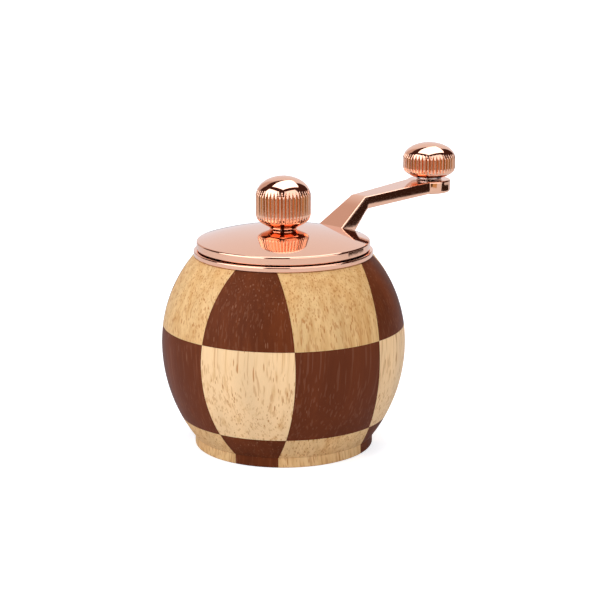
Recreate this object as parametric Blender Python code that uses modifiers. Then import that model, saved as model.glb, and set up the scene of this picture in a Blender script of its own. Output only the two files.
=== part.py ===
"""A small crank pepper mill: a turned ball of glued wood blocks in two colours, a domed metal lid
cast in one with its crank arm, two ribbed knobs, and a ceramic grinding set hung on a square shaft.

All sizes are in metres. Z is up, the foot stands on z = 0 and the crank points along +X."""

import math

import bmesh
import bpy
from mathutils import Matrix, Vector

# Clearances between neighbouring pieces
TOUCH = 0.0003                  # between pieces that rest on each other or are glued together
RUNNING = 0.0004                # beside a piece that turns or lifts

# Glued wood body, a block of equal cubes turned on the lathe
CUBE = 0.02825                  # edge of one cube
FOOT_LAYER_H = 0.00995          # what the lathe left of the lowest layer
UPPER_LAYER_H = 0.0213          # what it left of the highest layer
GRID_ANGLE = math.radians(-14.6)  # of the cube rows, measured from the crank at rest
BALL_R = 0.0375
WIDEST_BELOW_EQUATOR = 0.006    # the widest place lies below the seam of the two big layers
BORE_BEYOND_CORNER = 0.0006     # the bore takes the whole middle column of cubes and this much more
FOOT_BAND_H = 0.0033
FOOT_EDGE = 0.0005              # rounding where the foot meets the table
FOOT_NECK = 0.0002              # how far the ball starts outside the foot band

# Collar ring on top of the wood
LID_R = 0.0265
COLLAR_PROUD = 0.0009           # the collar is this much wider than the lid
COLLAR_H = 0.0015
COLLAR_EDGE = 0.0004
WOOD_SETBACK = 0.0001           # the wood under the collar is this much narrower
SLEEVE_WALL = 0.001
SLEEVE_DEPTH = 0.006

# Lid with its crank arm
RIM_H = 0.0026
RIM_EDGE = 0.0006
DOME_RISE = 0.0033
KNOB_SEAT_R = 0.0049            # flat in the middle of the dome
SPIGOT_WALL = 0.0012
SPIGOT_DEPTH = 0.0035
LID_RECESS = 0.0019
LID_HUB_WALL = 0.0015
LID_HUB_DROP = 0.001
CRANK_REACH = 0.064
ARM_ROOT_R = 0.0185             # the arm starts here, inside the dome
ARM_RISE_START = 0.0007         # height of its top face over the rim there
ARM_BEND_R = 0.0319
ARM_BEND_H = 0.00945            # height of its top face over the rim at the bend
ARM_T = 0.0041                  # thickness of the outer stretch
ARM_UNDER_BEND = 0.0015         # the underside bends this much farther out
ARM_ROOT_HALF = 0.0055
ARM_BEND_HALF = 0.0033
ARM_END_HALF = 0.005
ARM_EDGE = 0.0005
PAD_R = 0.007
PAD_H = 0.0112                  # height of the pad's top face over the rim

# Ribbed knobs
RIB_COUNT = 44
RIB_DEPTH = 0.0004
TOP_KNOB_R = 0.0084
TOP_KNOB_NECK_R = 0.0043
TOP_KNOB_NECK_H = 0.0003
TOP_KNOB_TAPER_H = 0.0033
TOP_KNOB_RIB_H = 0.0071
TOP_KNOB_DOME_H = 0.0052
CRANK_KNOB_R = 0.0085
CRANK_KNOB_FOOT_R = 0.006
CRANK_KNOB_TAPER_H = 0.0023
CRANK_KNOB_RIB_H = 0.0042
CRANK_KNOB_DOME_H = 0.0043
RIB_SHOULDER = 0.0002           # chamfer between the ribs and the dome or the taper
OVAL_SINK = 0.0007              # the dome is the top of an oval, widest this far below it

# Pin and washer that carry the crank knob
PIN_R = 0.0016
PIN_HEAD_R = 0.003
PIN_HEAD_H = 0.001
PIN_IN_KNOB = 0.0085
KNOB_WASHER_R = 0.0042
KNOB_WASHER_T = 0.0006

# Square shaft and the fine adjustment
SHAFT_SIDE = 0.005
THREAD_R = 0.0024
THREAD_LENGTH = 0.012
THREAD_LEAD = 0.0008            # the shaft's travel in one turn of the top knob
ADJUST_TURNS = 1.0              # turns of the top knob each way from the middle setting
BORE_SPARE = 0.0005             # past the thread's end in the knob

# Mill housing in the foot
FLANGE_RECESS = 0.0012          # its underside lies this far above the table
FLANGE_T = 0.0023
SEAT_LEDGE = 0.0046             # width of the step in the wood that the flange seats on
FOOT_RIM = 0.0024               # wood left outside that step
HOUSING_WALL = 0.0033
SHOULDER_IN = 0.0022            # ledge inside the housing that stops the outer burr
SHOULDER_H = 0.0014
HUB_H = 0.0041
HUB_WALL = 0.0024
BRIDGE_WIDTH = 0.006
BRIDGE_SHY = 0.0004             # the bridge is this much lower than its hub, above and below
HOUSING_LIP = 0.0005            # the cup's rim stands this far above the hub

# Burrs, washer, screw, spring, bush and clip on the shaft
TABLE_CLEAR = 0.0008            # under the burr screw with the shaft in its lowest place
BURR_SCREW_R = 0.0012
BURR_SCREW_HEAD_R = 0.0028
BURR_SCREW_HEAD_H = 0.0014
BURR_SCREW_LENGTH = 0.0075
BURR_WASHER_R = 0.0045
BURR_WASHER_T = 0.0008
RETAINER_H = 0.003
RETAINER_WALL = 0.0030
BURR_TEETH = 18
TOOTH_DEPTH = 0.0008
TOOTH_TWIST = math.radians(16)  # over the height of the inner burr
INNER_BURR_H = 0.010
GRIND_BAND_H = 0.003            # lowest part of the burrs, where they lie close together
GRIND_GAP = 0.0007
GRIND_SLOPE = 0.37              # radius lost for each unit of height in that band
INNER_BURR_TOP_R = 0.0066
OUTER_BURR_H = 0.009
OUTER_BURR_WALL = 0.0036        # at its lower edge
OUTER_BURR_TOP_WALL = 0.0028
SPRING_WIRE_R = 0.0004
SPRING_TURNS = 3.5
SPRING_H = 0.0054
SPRING_POINTS_PER_TURN = 10
BUSH_WALL = 0.0009              # at the corners of its square hole
BUSH_FLANGE = 0.0012            # width and height of its flange
CLIP_WALL = 0.0014
CLIP_T = 0.0008

# Countersunk wood screws
SCREW_COUNT = 4
SCREW_R = 0.001
SCREW_HEAD_R = 0.0016
SCREW_HEAD_H = 0.0007
SCREW_IN_WOOD = 0.0045

# Faces around a full turn
BODY_STEPS = 56
METAL_STEPS = 40
SMALL_STEPS = 20
SCREW_STEPS = 12
DOME_ROWS = 5
TAPER_ROWS = 3

# Heights, worked out from the foot upwards
EQUATOR_Z = FOOT_LAYER_H + CUBE
WOOD_TOP_Z = EQUATOR_Z + UPPER_LAYER_H
WIDEST_Z = EQUATOR_Z - WIDEST_BELOW_EQUATOR
COLLAR_BOTTOM_Z = WOOD_TOP_Z + TOUCH
COLLAR_TOP_Z = COLLAR_BOTTOM_Z + COLLAR_H
LID_BOTTOM_Z = COLLAR_TOP_Z + TOUCH
RIM_TOP_Z = LID_BOTTOM_Z + RIM_H
APEX_Z = RIM_TOP_Z + DOME_RISE
LID_CEILING_Z = LID_BOTTOM_Z + LID_RECESS
TOP_KNOB_Z = APEX_Z + TOUCH
PAD_TOP_Z = RIM_TOP_Z + PAD_H
KNOB_WASHER_Z = PAD_TOP_Z + TOUCH
CRANK_KNOB_Z = KNOB_WASHER_Z + KNOB_WASHER_T + TOUCH

TRAVEL = THREAD_LEAD * ADJUST_TURNS
BURR_SCREW_Z = TRAVEL + TABLE_CLEAR
BURR_WASHER_Z = BURR_SCREW_Z + BURR_SCREW_HEAD_H + TOUCH
INNER_BURR_Z = BURR_WASHER_Z + BURR_WASHER_T + TOUCH
INNER_BURR_TOP_Z = INNER_BURR_Z + INNER_BURR_H
FLANGE_TOP_Z = FLANGE_RECESS + FLANGE_T
OUTER_BURR_Z = FLANGE_RECESS + RETAINER_H + TOUCH
SHOULDER_Z = OUTER_BURR_Z + OUTER_BURR_H + TOUCH
SPRING_Z = INNER_BURR_TOP_Z + TOUCH
BUSH_Z = SPRING_Z + SPRING_H + TOUCH
HUB_Z = BUSH_Z + BUSH_FLANGE + TOUCH
HUB_TOP_Z = HUB_Z + HUB_H
BUSH_TOP_Z = HUB_TOP_Z + TOUCH
CLIP_Z = BUSH_TOP_Z + TRAVEL + TOUCH
SQUARE_TOP_Z = APEX_Z - TRAVEL

# Radii, worked out from the bore and the lid
BORE_R = CUBE * math.sqrt(0.5) + BORE_BEYOND_CORNER
COLLAR_R = LID_R + COLLAR_PROUD
WOOD_TOP_R = COLLAR_R - WOOD_SETBACK
SLEEVE_R = BORE_R - TOUCH
COLLAR_BORE_R = SLEEVE_R - SLEEVE_WALL
SPIGOT_R = COLLAR_BORE_R - RUNNING
COUNTERBORE_R = BORE_R + SEAT_LEDGE
FOOT_R = COUNTERBORE_R + FOOT_RIM
FLANGE_R = COUNTERBORE_R - TOUCH
HOUSING_R = BORE_R - TOUCH
HOUSING_BORE_R = HOUSING_R - HOUSING_WALL
OUTER_BURR_R = HOUSING_BORE_R - TOUCH
OUTER_BURR_BORE_R = OUTER_BURR_R - OUTER_BURR_WALL
OUTER_BURR_TOP_BORE_R = OUTER_BURR_R - OUTER_BURR_TOP_WALL
RETAINER_BORE_R = OUTER_BURR_R - RETAINER_WALL
INNER_BURR_R = OUTER_BURR_BORE_R - GRIND_GAP
SQUARE_HOLE = SHAFT_SIDE + 2 * TOUCH
SQUARE_HOLE_CORNER = SQUARE_HOLE * math.sqrt(0.5)
BUSH_R = SQUARE_HOLE_CORNER + BUSH_WALL
HUB_BORE_R = BUSH_R + TOUCH
HUB_R = HUB_BORE_R + HUB_WALL
LID_HUB_R = SQUARE_HOLE_CORNER + LID_HUB_WALL
SPRING_R = SHAFT_SIDE * math.sqrt(0.5) + TOUCH + 2 * SPRING_WIRE_R
COLLAR_SCREW_PITCH_R = (SLEEVE_R + COLLAR_R) / 2
HOUSING_SCREW_PITCH_R = (HOUSING_R + FLANGE_R) / 2

# The overall box is centred on the origin, so the mill's axis lies behind it
AXIS_X = (BALL_R - CRANK_REACH - CRANK_KNOB_R) / 2


def clear_scene():
    for obj in list(bpy.data.objects):
        bpy.data.objects.remove(obj, do_unlink=True)


def new_collection(name):
    collection = bpy.data.collections.new(name)
    bpy.context.scene.collection.children.link(collection)
    return collection


def new_material(name, colour, roughness, metallic=0.0):
    material = bpy.data.materials.new(name)
    material.use_nodes = True
    shader = material.node_tree.nodes["Principled BSDF"]
    shader.inputs["Base Color"].default_value = (*colour, 1.0)
    shader.inputs["Roughness"].default_value = roughness
    shader.inputs["Metallic"].default_value = metallic
    material.diffuse_color = (*colour, 1.0)
    return material


def new_axis(name, x):
    """An empty on a joint's axis, which carries the pieces that turn or slide there."""
    empty = bpy.data.objects.new(name, None)
    empty.location = (x, 0.0, 0.0)
    PARTS.objects.link(empty)
    return empty


def new_object(name, mesh, material, axis):
    obj = bpy.data.objects.new(name, mesh)
    obj.parent = axis
    if material:
        mesh.materials.clear()
        mesh.materials.append(material)
        PARTS.objects.link(obj)
    else:
        CUTTERS.objects.link(obj)
        obj.hide_render = True
        obj.display_type = "WIRE"
    return obj


def freeze(obj):
    """Turn the object's modifiers into its mesh, shaded smooth except over sharp edges."""
    bpy.context.view_layer.update()
    evaluated = obj.evaluated_get(bpy.context.evaluated_depsgraph_get())
    mesh = bpy.data.meshes.new_from_object(evaluated)
    old = obj.data
    obj.modifiers.clear()
    obj.data = mesh
    bpy.data.meshes.remove(old)
    mesh.shade_smooth()
    mesh.set_sharp_from_angle(angle=math.radians(32))
    return obj


def turned(name, profile, material, axis, steps=METAL_STEPS):
    """A closed outline of (radius, height) points, run down its outer side, turned about Z."""
    bm = bmesh.new()
    verts = [bm.verts.new((r, 0.0, z)) for r, z in profile]
    on_axis = profile[0][0] == 0.0 and profile[-1][0] == 0.0
    for a, b in zip(verts, verts[1:]):
        bm.edges.new((a, b))
    if not on_axis:
        bm.edges.new((verts[-1], verts[0]))
    mesh = bpy.data.meshes.new(name)
    bm.to_mesh(mesh)
    bm.free()
    obj = new_object(name, mesh, material, axis)
    screw = obj.modifiers.new("turn", "SCREW")
    screw.steps = steps
    screw.render_steps = steps
    screw.use_merge_vertices = True
    screw.merge_threshold = 0.00001
    return freeze(obj)


def arc_between(centre, radius, start, end, count):
    """Points on a circle in the (radius, height) plane from the angle start to the angle end."""
    points = []
    for i in range(count + 1):
        angle = start + (end - start) * i / count
        points.append((centre[0] + radius * math.cos(angle), centre[1] + radius * math.sin(angle)))
    return points


def rounded_corner(corner, size, start, count=3):
    """An outer corner's quarter round of the given size, run from the angle start downwards."""
    centre = (corner[0] - size, corner[1] + size * (1 if start <= 0 else -1))
    return arc_between(centre, size, start, start - math.pi / 2, count)


def prism(name, outline, low, high, axis, turn=None):
    """A flat outline of (x, y) points filled and raised from low to high."""
    curve = bpy.data.curves.new(name, "CURVE")
    curve.dimensions = "2D"
    curve.fill_mode = "BOTH"
    curve.extrude = (high - low) / 2
    spline = curve.splines.new("POLY")
    spline.points.add(len(outline) - 1)
    for point, (x, y) in zip(spline.points, outline):
        point.co = (x, y, 0.0, 1.0)
    spline.use_cyclic_u = True
    obj = bpy.data.objects.new(name, curve)
    CUTTERS.objects.link(obj)
    bpy.context.view_layer.update()
    mesh = bpy.data.meshes.new_from_object(obj.evaluated_get(bpy.context.evaluated_depsgraph_get()))
    bpy.data.objects.remove(obj)
    bpy.data.curves.remove(curve)
    bm = bmesh.new()
    bm.from_mesh(mesh)
    bmesh.ops.remove_doubles(bm, verts=bm.verts, dist=0.000001)
    bmesh.ops.translate(bm, verts=bm.verts, vec=(0.0, 0.0, (low + high) / 2))
    if turn:
        bmesh.ops.transform(bm, matrix=turn, verts=bm.verts)
    bmesh.ops.recalc_face_normals(bm, faces=bm.faces)
    bm.to_mesh(mesh)
    bm.free()
    return new_object(name, mesh, None, axis)


def box(name, low, high, axis, angle=0.0):
    """A box between two corners, turned about Z by an angle."""
    bm = bmesh.new()
    bmesh.ops.create_cube(bm, size=1.0)
    size = [b - a for a, b in zip(low, high)]
    middle = [(a + b) / 2 for a, b in zip(low, high)]
    bmesh.ops.scale(bm, vec=size, verts=bm.verts)
    bmesh.ops.translate(bm, vec=middle, verts=bm.verts)
    bmesh.ops.rotate(bm, cent=(0.0, 0.0, 0.0), matrix=Matrix.Rotation(angle, 3, "Z"), verts=bm.verts)
    mesh = bpy.data.meshes.new(name)
    bm.to_mesh(mesh)
    bm.free()
    return new_object(name, mesh, None, axis)


def square_cutter(name, side, low, high, axis):
    return box(name, (-side / 2, -side / 2, low), (side / 2, side / 2, high), axis)


def rod(name, radius, low, high, axis, steps=SMALL_STEPS):
    return turned(name, [(0.0, high), (radius, high), (radius, low), (0.0, low)], None, axis, steps)


def boolean(obj, operation, other):
    modifier = obj.modifiers.new(operation.lower(), "BOOLEAN")
    modifier.operation = operation
    modifier.solver = "EXACT"
    modifier.object = other


def screw_places(pitch_r):
    """The places of a ring of wood screws, each in the middle of a side block."""
    for i in range(SCREW_COUNT):
        angle = GRID_ANGLE + 2 * math.pi * i / SCREW_COUNT
        yield Vector((pitch_r * math.cos(angle), pitch_r * math.sin(angle), 0.0))


def screw_hole_cutter(name, outline, pitch_r):
    """One cutter that holds a turned hole at each of the screws' places."""
    single = turned(name + "_one", outline, None, MILL_AXIS, SCREW_STEPS)
    bm = bmesh.new()
    for place in screw_places(pitch_r):
        first = len(bm.verts)
        bm.from_mesh(single.data)
        bm.verts.ensure_lookup_table()
        bmesh.ops.translate(bm, vec=place, verts=bm.verts[first:])
    mesh = bpy.data.meshes.new(name)
    bm.to_mesh(mesh)
    bm.free()
    bpy.data.objects.remove(single)
    return new_object(name, mesh, None, MILL_AXIS)


def body_outline():
    """The lathe's outline of the wood: ball, foot band, the step for the flange, and the bore."""
    top_drop = BALL_R - WOOD_TOP_R
    top_rise = WOOD_TOP_Z - WIDEST_Z
    upper_arc_r = (top_drop ** 2 + top_rise ** 2) / (2 * top_drop)
    neck_r = FOOT_R + FOOT_NECK
    foot_drop = BALL_R - neck_r
    foot_fall = WIDEST_Z - FOOT_BAND_H
    lower_arc_r = (foot_drop ** 2 + foot_fall ** 2) / (2 * foot_drop)
    upper = arc_between((BALL_R - upper_arc_r, WIDEST_Z), upper_arc_r,
                        math.asin(top_rise / upper_arc_r), 0.0, 8)
    lower = arc_between((BALL_R - lower_arc_r, WIDEST_Z), lower_arc_r,
                        0.0, -math.asin(foot_fall / lower_arc_r), 9)
    foot = [(FOOT_R, FOOT_BAND_H - FOOT_NECK)] + rounded_corner((FOOT_R, 0.0), FOOT_EDGE, 0.0)
    step_z = FLANGE_TOP_Z + TOUCH
    inside = [(COUNTERBORE_R, 0.0), (COUNTERBORE_R, step_z), (BORE_R, step_z), (BORE_R, WOOD_TOP_Z)]
    return upper + lower[1:] + foot + inside


def make_pilot_holes():
    """Holes in the wood for the collar's screws from above and the housing's from below."""
    hole_r = SCREW_R + TOUCH
    depth = SCREW_IN_WOOD + TOUCH
    holes = []
    for name, pitch_r, low, high in (
            ("collar_pilot_holes", COLLAR_SCREW_PITCH_R, WOOD_TOP_Z - depth, COLLAR_TOP_Z),
            ("housing_pilot_holes", HOUSING_SCREW_PITCH_R, FLANGE_RECESS, FLANGE_TOP_Z + depth)):
        outline = [(0.0, high), (hole_r, high), (hole_r, low), (0.0, low)]
        holes.append(screw_hole_cutter(name, outline, pitch_r))
    return holes


def make_wood_blocks(light, dark):
    """The turned body, cut into the blocks of each layer around the bored middle column."""
    collar_holes, housing_holes = make_pilot_holes()
    inner = CUBE / 2 + TOUCH / 2
    side = CUBE / 2 - TOUCH / 2
    beyond = 2 * BALL_R
    layers = (
        ("foot", -TOUCH, FOOT_LAYER_H - TOUCH / 2, light, dark, housing_holes),
        ("middle", FOOT_LAYER_H + TOUCH / 2, EQUATOR_Z - TOUCH / 2, dark, light, None),
        ("upper", EQUATOR_Z + TOUCH / 2, WOOD_TOP_Z + TOUCH, light, dark, collar_holes))
    for layer, low, high, face_material, corner_material, holes in layers:
        for i in range(4):
            angle = GRID_ANGLE + i * math.pi / 2
            cells = (("face", (inner, -side, low), (beyond, side, high), face_material, holes),
                     ("corner", (inner, inner, low), (beyond, beyond, high), corner_material, None))
            for kind, near, far, material, drilled in cells:
                name = f"{layer}_{kind}_block_{i + 1}"
                block = turned(name, body_outline(), material, MILL_AXIS, BODY_STEPS)
                boolean(block, "INTERSECT", box(name + "_cell", near, far, MILL_AXIS, angle))
                if drilled:
                    boolean(block, "DIFFERENCE", drilled)
                freeze(block)


def countersunk_screws(name, pitch_r, head_z, downwards, flange_t, material):
    """Flat-headed wood screws whose heads lie flush with a flange."""
    length = flange_t + SCREW_IN_WOOD
    way = -1 if downwards else 1
    outline = [(0.0, head_z), (SCREW_HEAD_R, head_z), (SCREW_R, head_z + way * SCREW_HEAD_H),
               (SCREW_R, head_z + way * length), (0.0, head_z + way * length)]
    if not downwards:
        outline.reverse()
    for i, place in enumerate(screw_places(pitch_r)):
        screw = turned(f"{name}_{i + 1}", outline, material, MILL_AXIS, SCREW_STEPS)
        screw.location = place


def countersunk_holes(name, pitch_r, head_z, downwards, flange_t):
    """The flange's holes for those screws, with room all round."""
    way = -1 if downwards else 1
    wide = SCREW_HEAD_R + TOUCH
    narrow = SCREW_R + TOUCH
    outside = head_z - way * flange_t
    outline = [(0.0, outside), (wide, outside), (wide, head_z),
               (narrow, head_z + way * SCREW_HEAD_H),
               (narrow, head_z + way * 2 * flange_t), (0.0, head_z + way * 2 * flange_t)]
    if not downwards:
        outline.reverse()
    return screw_hole_cutter(name, outline, pitch_r)


def make_collar(metal, steel):
    """The flanged ring on the wood, whose sleeve lines the mouth, and its screws."""
    outline = [(COLLAR_BORE_R, COLLAR_TOP_Z)]
    outline += rounded_corner((COLLAR_R, COLLAR_TOP_Z), COLLAR_EDGE, math.pi / 2)
    outline += [(COLLAR_R, COLLAR_BOTTOM_Z), (SLEEVE_R, COLLAR_BOTTOM_Z),
                (SLEEVE_R, COLLAR_BOTTOM_Z - SLEEVE_DEPTH),
                (COLLAR_BORE_R, COLLAR_BOTTOM_Z - SLEEVE_DEPTH)]
    collar = turned("collar_ring", outline, metal, MILL_AXIS)
    boolean(collar, "DIFFERENCE", countersunk_holes(
        "collar_screw_holes", COLLAR_SCREW_PITCH_R, COLLAR_TOP_Z, True, COLLAR_H))
    freeze(collar)
    countersunk_screws("collar_screw", COLLAR_SCREW_PITCH_R, COLLAR_TOP_Z, True, COLLAR_H, steel)


def arm_plan():
    """The arm seen from above, from its root in the lid to the round pad at its end."""
    meet = math.asin(ARM_END_HALF / PAD_R)
    meet_x = CRANK_REACH - PAD_R * math.cos(meet)
    pad = arc_between((CRANK_REACH, 0.0), PAD_R, meet - math.pi, math.pi - meet, 22)
    near = [(ARM_ROOT_R, -ARM_ROOT_HALF), (ARM_BEND_R, -ARM_BEND_HALF)]
    return near + pad + [(x, -y) for x, y in reversed(near)], meet_x


def arm_side(level_x):
    """The arm seen from the side: it climbs from the rim, bends, and runs level at the pad."""
    bend_z = RIM_TOP_Z + ARM_BEND_H
    end_x = CRANK_REACH + 2 * PAD_R
    under_bend_x = ARM_BEND_R + ARM_UNDER_BEND
    slope = (PAD_TOP_Z - bend_z) / (level_x - ARM_BEND_R)
    under_bend_z = bend_z + slope * ARM_UNDER_BEND - ARM_T
    return [(ARM_ROOT_R, RIM_TOP_Z + ARM_RISE_START), (ARM_ROOT_R, RIM_TOP_Z - RIM_H / 2),
            (LID_R + RIM_EDGE, RIM_TOP_Z - RIM_EDGE), (under_bend_x, under_bend_z),
            (level_x, PAD_TOP_Z - ARM_T), (end_x, PAD_TOP_Z - ARM_T), (end_x, PAD_TOP_Z),
            (level_x, PAD_TOP_Z), (ARM_BEND_R, bend_z)]


def make_lid(metal):
    """The domed lid and the crank arm, one casting."""
    dome_r = LID_R - RIM_EDGE - KNOB_SEAT_R
    dome = []
    for i in range(DOME_ROWS + 1):
        share = i / DOME_ROWS
        dome.append((KNOB_SEAT_R + share * dome_r, APEX_Z - DOME_RISE * share ** 2))
    rim = rounded_corner((LID_R, RIM_TOP_Z), RIM_EDGE, math.pi / 2)
    spigot_bore_r = SPIGOT_R - SPIGOT_WALL
    hub_z = LID_BOTTOM_Z - LID_HUB_DROP
    outline = [(0.0, APEX_Z)] + dome + rim[1:] + [
        (LID_R, LID_BOTTOM_Z), (SPIGOT_R, LID_BOTTOM_Z), (SPIGOT_R, LID_BOTTOM_Z - SPIGOT_DEPTH),
        (spigot_bore_r, LID_BOTTOM_Z - SPIGOT_DEPTH), (spigot_bore_r, LID_CEILING_Z),
        (LID_HUB_R, LID_CEILING_Z), (LID_HUB_R, hub_z), (0.0, hub_z)]
    lid = turned("lid_and_crank", outline, metal, CRANK_AXIS)

    plan, level_x = arm_plan()
    arm = prism("arm_plan", plan, LID_BOTTOM_Z, PAD_TOP_Z + PAD_H, CRANK_AXIS)
    stand_up = Matrix.Rotation(math.pi / 2, 4, "X")
    side = prism("arm_side", arm_side(level_x), -2 * PAD_R, 2 * PAD_R, CRANK_AXIS, stand_up)
    boolean(arm, "INTERSECT", side)
    bevel = arm.modifiers.new("edges", "BEVEL")
    bevel.width = ARM_EDGE
    bevel.segments = 1
    bevel.limit_method = "ANGLE"
    bevel.angle_limit = math.radians(50)
    freeze(arm)
    boolean(lid, "UNION", arm)

    pin_hole_r = PIN_R + TOUCH
    head_room_r = PIN_HEAD_R + TOUCH
    pad_bottom_z = PAD_TOP_Z - ARM_T
    head_room_z = pad_bottom_z + PIN_HEAD_H + TOUCH
    hole = turned("pad_pin_hole", [
        (0.0, PAD_TOP_Z + ARM_T), (pin_hole_r, PAD_TOP_Z + ARM_T), (pin_hole_r, head_room_z),
        (head_room_r, head_room_z), (head_room_r, pad_bottom_z - ARM_T), (0.0, pad_bottom_z - ARM_T)],
        None, KNOB_AXIS, SMALL_STEPS)
    boolean(lid, "DIFFERENCE", hole)
    boolean(lid, "DIFFERENCE", square_cutter(
        "lid_square_hole", SQUARE_HOLE, hub_z - ARM_T, APEX_Z + ARM_T, CRANK_AXIS))
    freeze(lid)


def ribbed_knob(name, low_z, foot_r, neck_h, taper_h, rib_h, dome_h, radius, bore_r, bore_z, metal, axis):
    """A turned knob with a taper below, upright ribs and a domed top, bored from below."""
    taper_z = low_z + neck_h
    rib_z = taper_z + taper_h
    dome_z = rib_z + rib_h
    dome_start_r = radius - RIB_SHOULDER
    oval_h = dome_h + OVAL_SINK
    start = math.asin(OVAL_SINK / oval_h)
    oval_r = dome_start_r / math.cos(start)
    dome = [(0.0, dome_z + dome_h)]
    for i in range(1, DOME_ROWS + 1):
        turn = math.pi / 2 + (start - math.pi / 2) * i / DOME_ROWS
        dome.append((oval_r * math.cos(turn), dome_z - OVAL_SINK + oval_h * math.sin(turn)))
    taper = []
    for i in range(TAPER_ROWS + 1):
        fall = i / TAPER_ROWS
        taper.append((dome_start_r - (dome_start_r - foot_r) * fall ** 2, rib_z - taper_h * fall))
    outline = dome + [(radius, dome_z - RIB_SHOULDER), (radius, rib_z + RIB_SHOULDER)] + taper
    if neck_h:
        outline.append((foot_r, low_z))
    outline += [(bore_r, low_z), (bore_r, bore_z), (0.0, bore_z)]
    knob = turned(name, outline, metal, axis, 2 * RIB_COUNT)
    step = math.pi / RIB_COUNT
    for vert in knob.data.vertices:
        distance = math.hypot(vert.co.x, vert.co.y)
        column = round(math.atan2(vert.co.y, vert.co.x) / step)
        if distance > radius - RIB_SHOULDER / 2 and column % 2:
            vert.co.x *= (radius - RIB_DEPTH) / radius
            vert.co.y *= (radius - RIB_DEPTH) / radius
    knob.data.set_sharp_from_angle(angle=math.radians(20))
    return knob


def make_knobs(metal, steel):
    """The adjusting knob on the shaft's thread, and the crank's knob on its pin and washer."""
    ribbed_knob("top_knob", TOP_KNOB_Z, TOP_KNOB_NECK_R, TOP_KNOB_NECK_H, TOP_KNOB_TAPER_H,
                TOP_KNOB_RIB_H, TOP_KNOB_DOME_H, TOP_KNOB_R, THREAD_R + TOUCH,
                SQUARE_TOP_Z + THREAD_LENGTH + TRAVEL + BORE_SPARE, metal, CRANK_AXIS)
    pin_top_z = CRANK_KNOB_Z + PIN_IN_KNOB
    ribbed_knob("crank_knob", CRANK_KNOB_Z, CRANK_KNOB_FOOT_R, 0.0, CRANK_KNOB_TAPER_H,
                CRANK_KNOB_RIB_H, CRANK_KNOB_DOME_H, CRANK_KNOB_R, PIN_R + TOUCH,
                pin_top_z + TOUCH, metal, KNOB_AXIS)
    head_z = PAD_TOP_Z - ARM_T
    turned("crank_knob_pin", [
        (0.0, pin_top_z), (PIN_R, pin_top_z), (PIN_R, head_z + PIN_HEAD_H),
        (PIN_HEAD_R, head_z + PIN_HEAD_H), (PIN_HEAD_R, head_z), (0.0, head_z)],
        steel, KNOB_AXIS, SMALL_STEPS)
    washer_top_z = KNOB_WASHER_Z + KNOB_WASHER_T
    turned("crank_knob_washer", [
        (PIN_R + TOUCH, washer_top_z), (KNOB_WASHER_R, washer_top_z),
        (KNOB_WASHER_R, KNOB_WASHER_Z), (PIN_R + TOUCH, KNOB_WASHER_Z)],
        steel, KNOB_AXIS, SMALL_STEPS)


def make_shaft(steel):
    """The square shaft with its threaded top and the tapped hole in its lower end."""
    low = INNER_BURR_Z
    shaft = square_cutter("drive_shaft", SHAFT_SIDE, low, SQUARE_TOP_Z, CRANK_AXIS)
    shaft.hide_render = False
    shaft.display_type = "TEXTURED"
    CUTTERS.objects.unlink(shaft)
    PARTS.objects.link(shaft)
    shaft.data.materials.append(steel)
    thread = rod("shaft_thread", THREAD_R, SQUARE_TOP_Z - THREAD_R, SQUARE_TOP_Z + THREAD_LENGTH,
                 CRANK_AXIS)
    boolean(shaft, "UNION", thread)
    tapped_z = BURR_SCREW_Z + BURR_SCREW_HEAD_H + BURR_SCREW_LENGTH + TOUCH
    tapped = rod("shaft_tapped_hole", BURR_SCREW_R + TOUCH, low - BURR_WASHER_T, tapped_z,
                 CRANK_AXIS, SCREW_STEPS)
    boolean(shaft, "DIFFERENCE", tapped)
    freeze(shaft)


def toothed_cone(name, rings, twist, material, axis):
    """A toothed cone through rings of (tip radius, height), twisted evenly from foot to top."""
    bm = bmesh.new()
    last_r, last_z = rings[0]
    height = rings[-1][1] - last_z
    bmesh.ops.create_circle(bm, radius=last_r, segments=2 * BURR_TEETH)
    step = math.pi / BURR_TEETH
    for vert in bm.verts:
        column = round(math.atan2(vert.co.y, vert.co.x) / step)
        if column % 2:
            vert.co *= (last_r - TOOTH_DEPTH) / last_r
        vert.co.z = last_z
    edges = bm.edges[:]
    for ring_r, ring_z in rings[1:]:
        grown = bmesh.ops.extrude_edge_only(bm, edges=edges)["geom"]
        verts = [item for item in grown if isinstance(item, bmesh.types.BMVert)]
        edges = [item for item in grown if isinstance(item, bmesh.types.BMEdge)]
        turn = Matrix.Rotation(twist * (ring_z - last_z) / height, 3, "Z")
        bmesh.ops.scale(bm, vec=(ring_r / last_r, ring_r / last_r, 1.0), verts=verts)
        bmesh.ops.rotate(bm, cent=(0.0, 0.0, 0.0), matrix=turn, verts=verts)
        bmesh.ops.translate(bm, vec=(0.0, 0.0, ring_z - last_z), verts=verts)
        last_r, last_z = ring_r, ring_z
    bmesh.ops.holes_fill(bm, edges=bm.edges, sides=0)
    bmesh.ops.recalc_face_normals(bm, faces=bm.faces)
    mesh = bpy.data.meshes.new(name)
    bm.to_mesh(mesh)
    bm.free()
    return new_object(name, mesh, material, axis)


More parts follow.
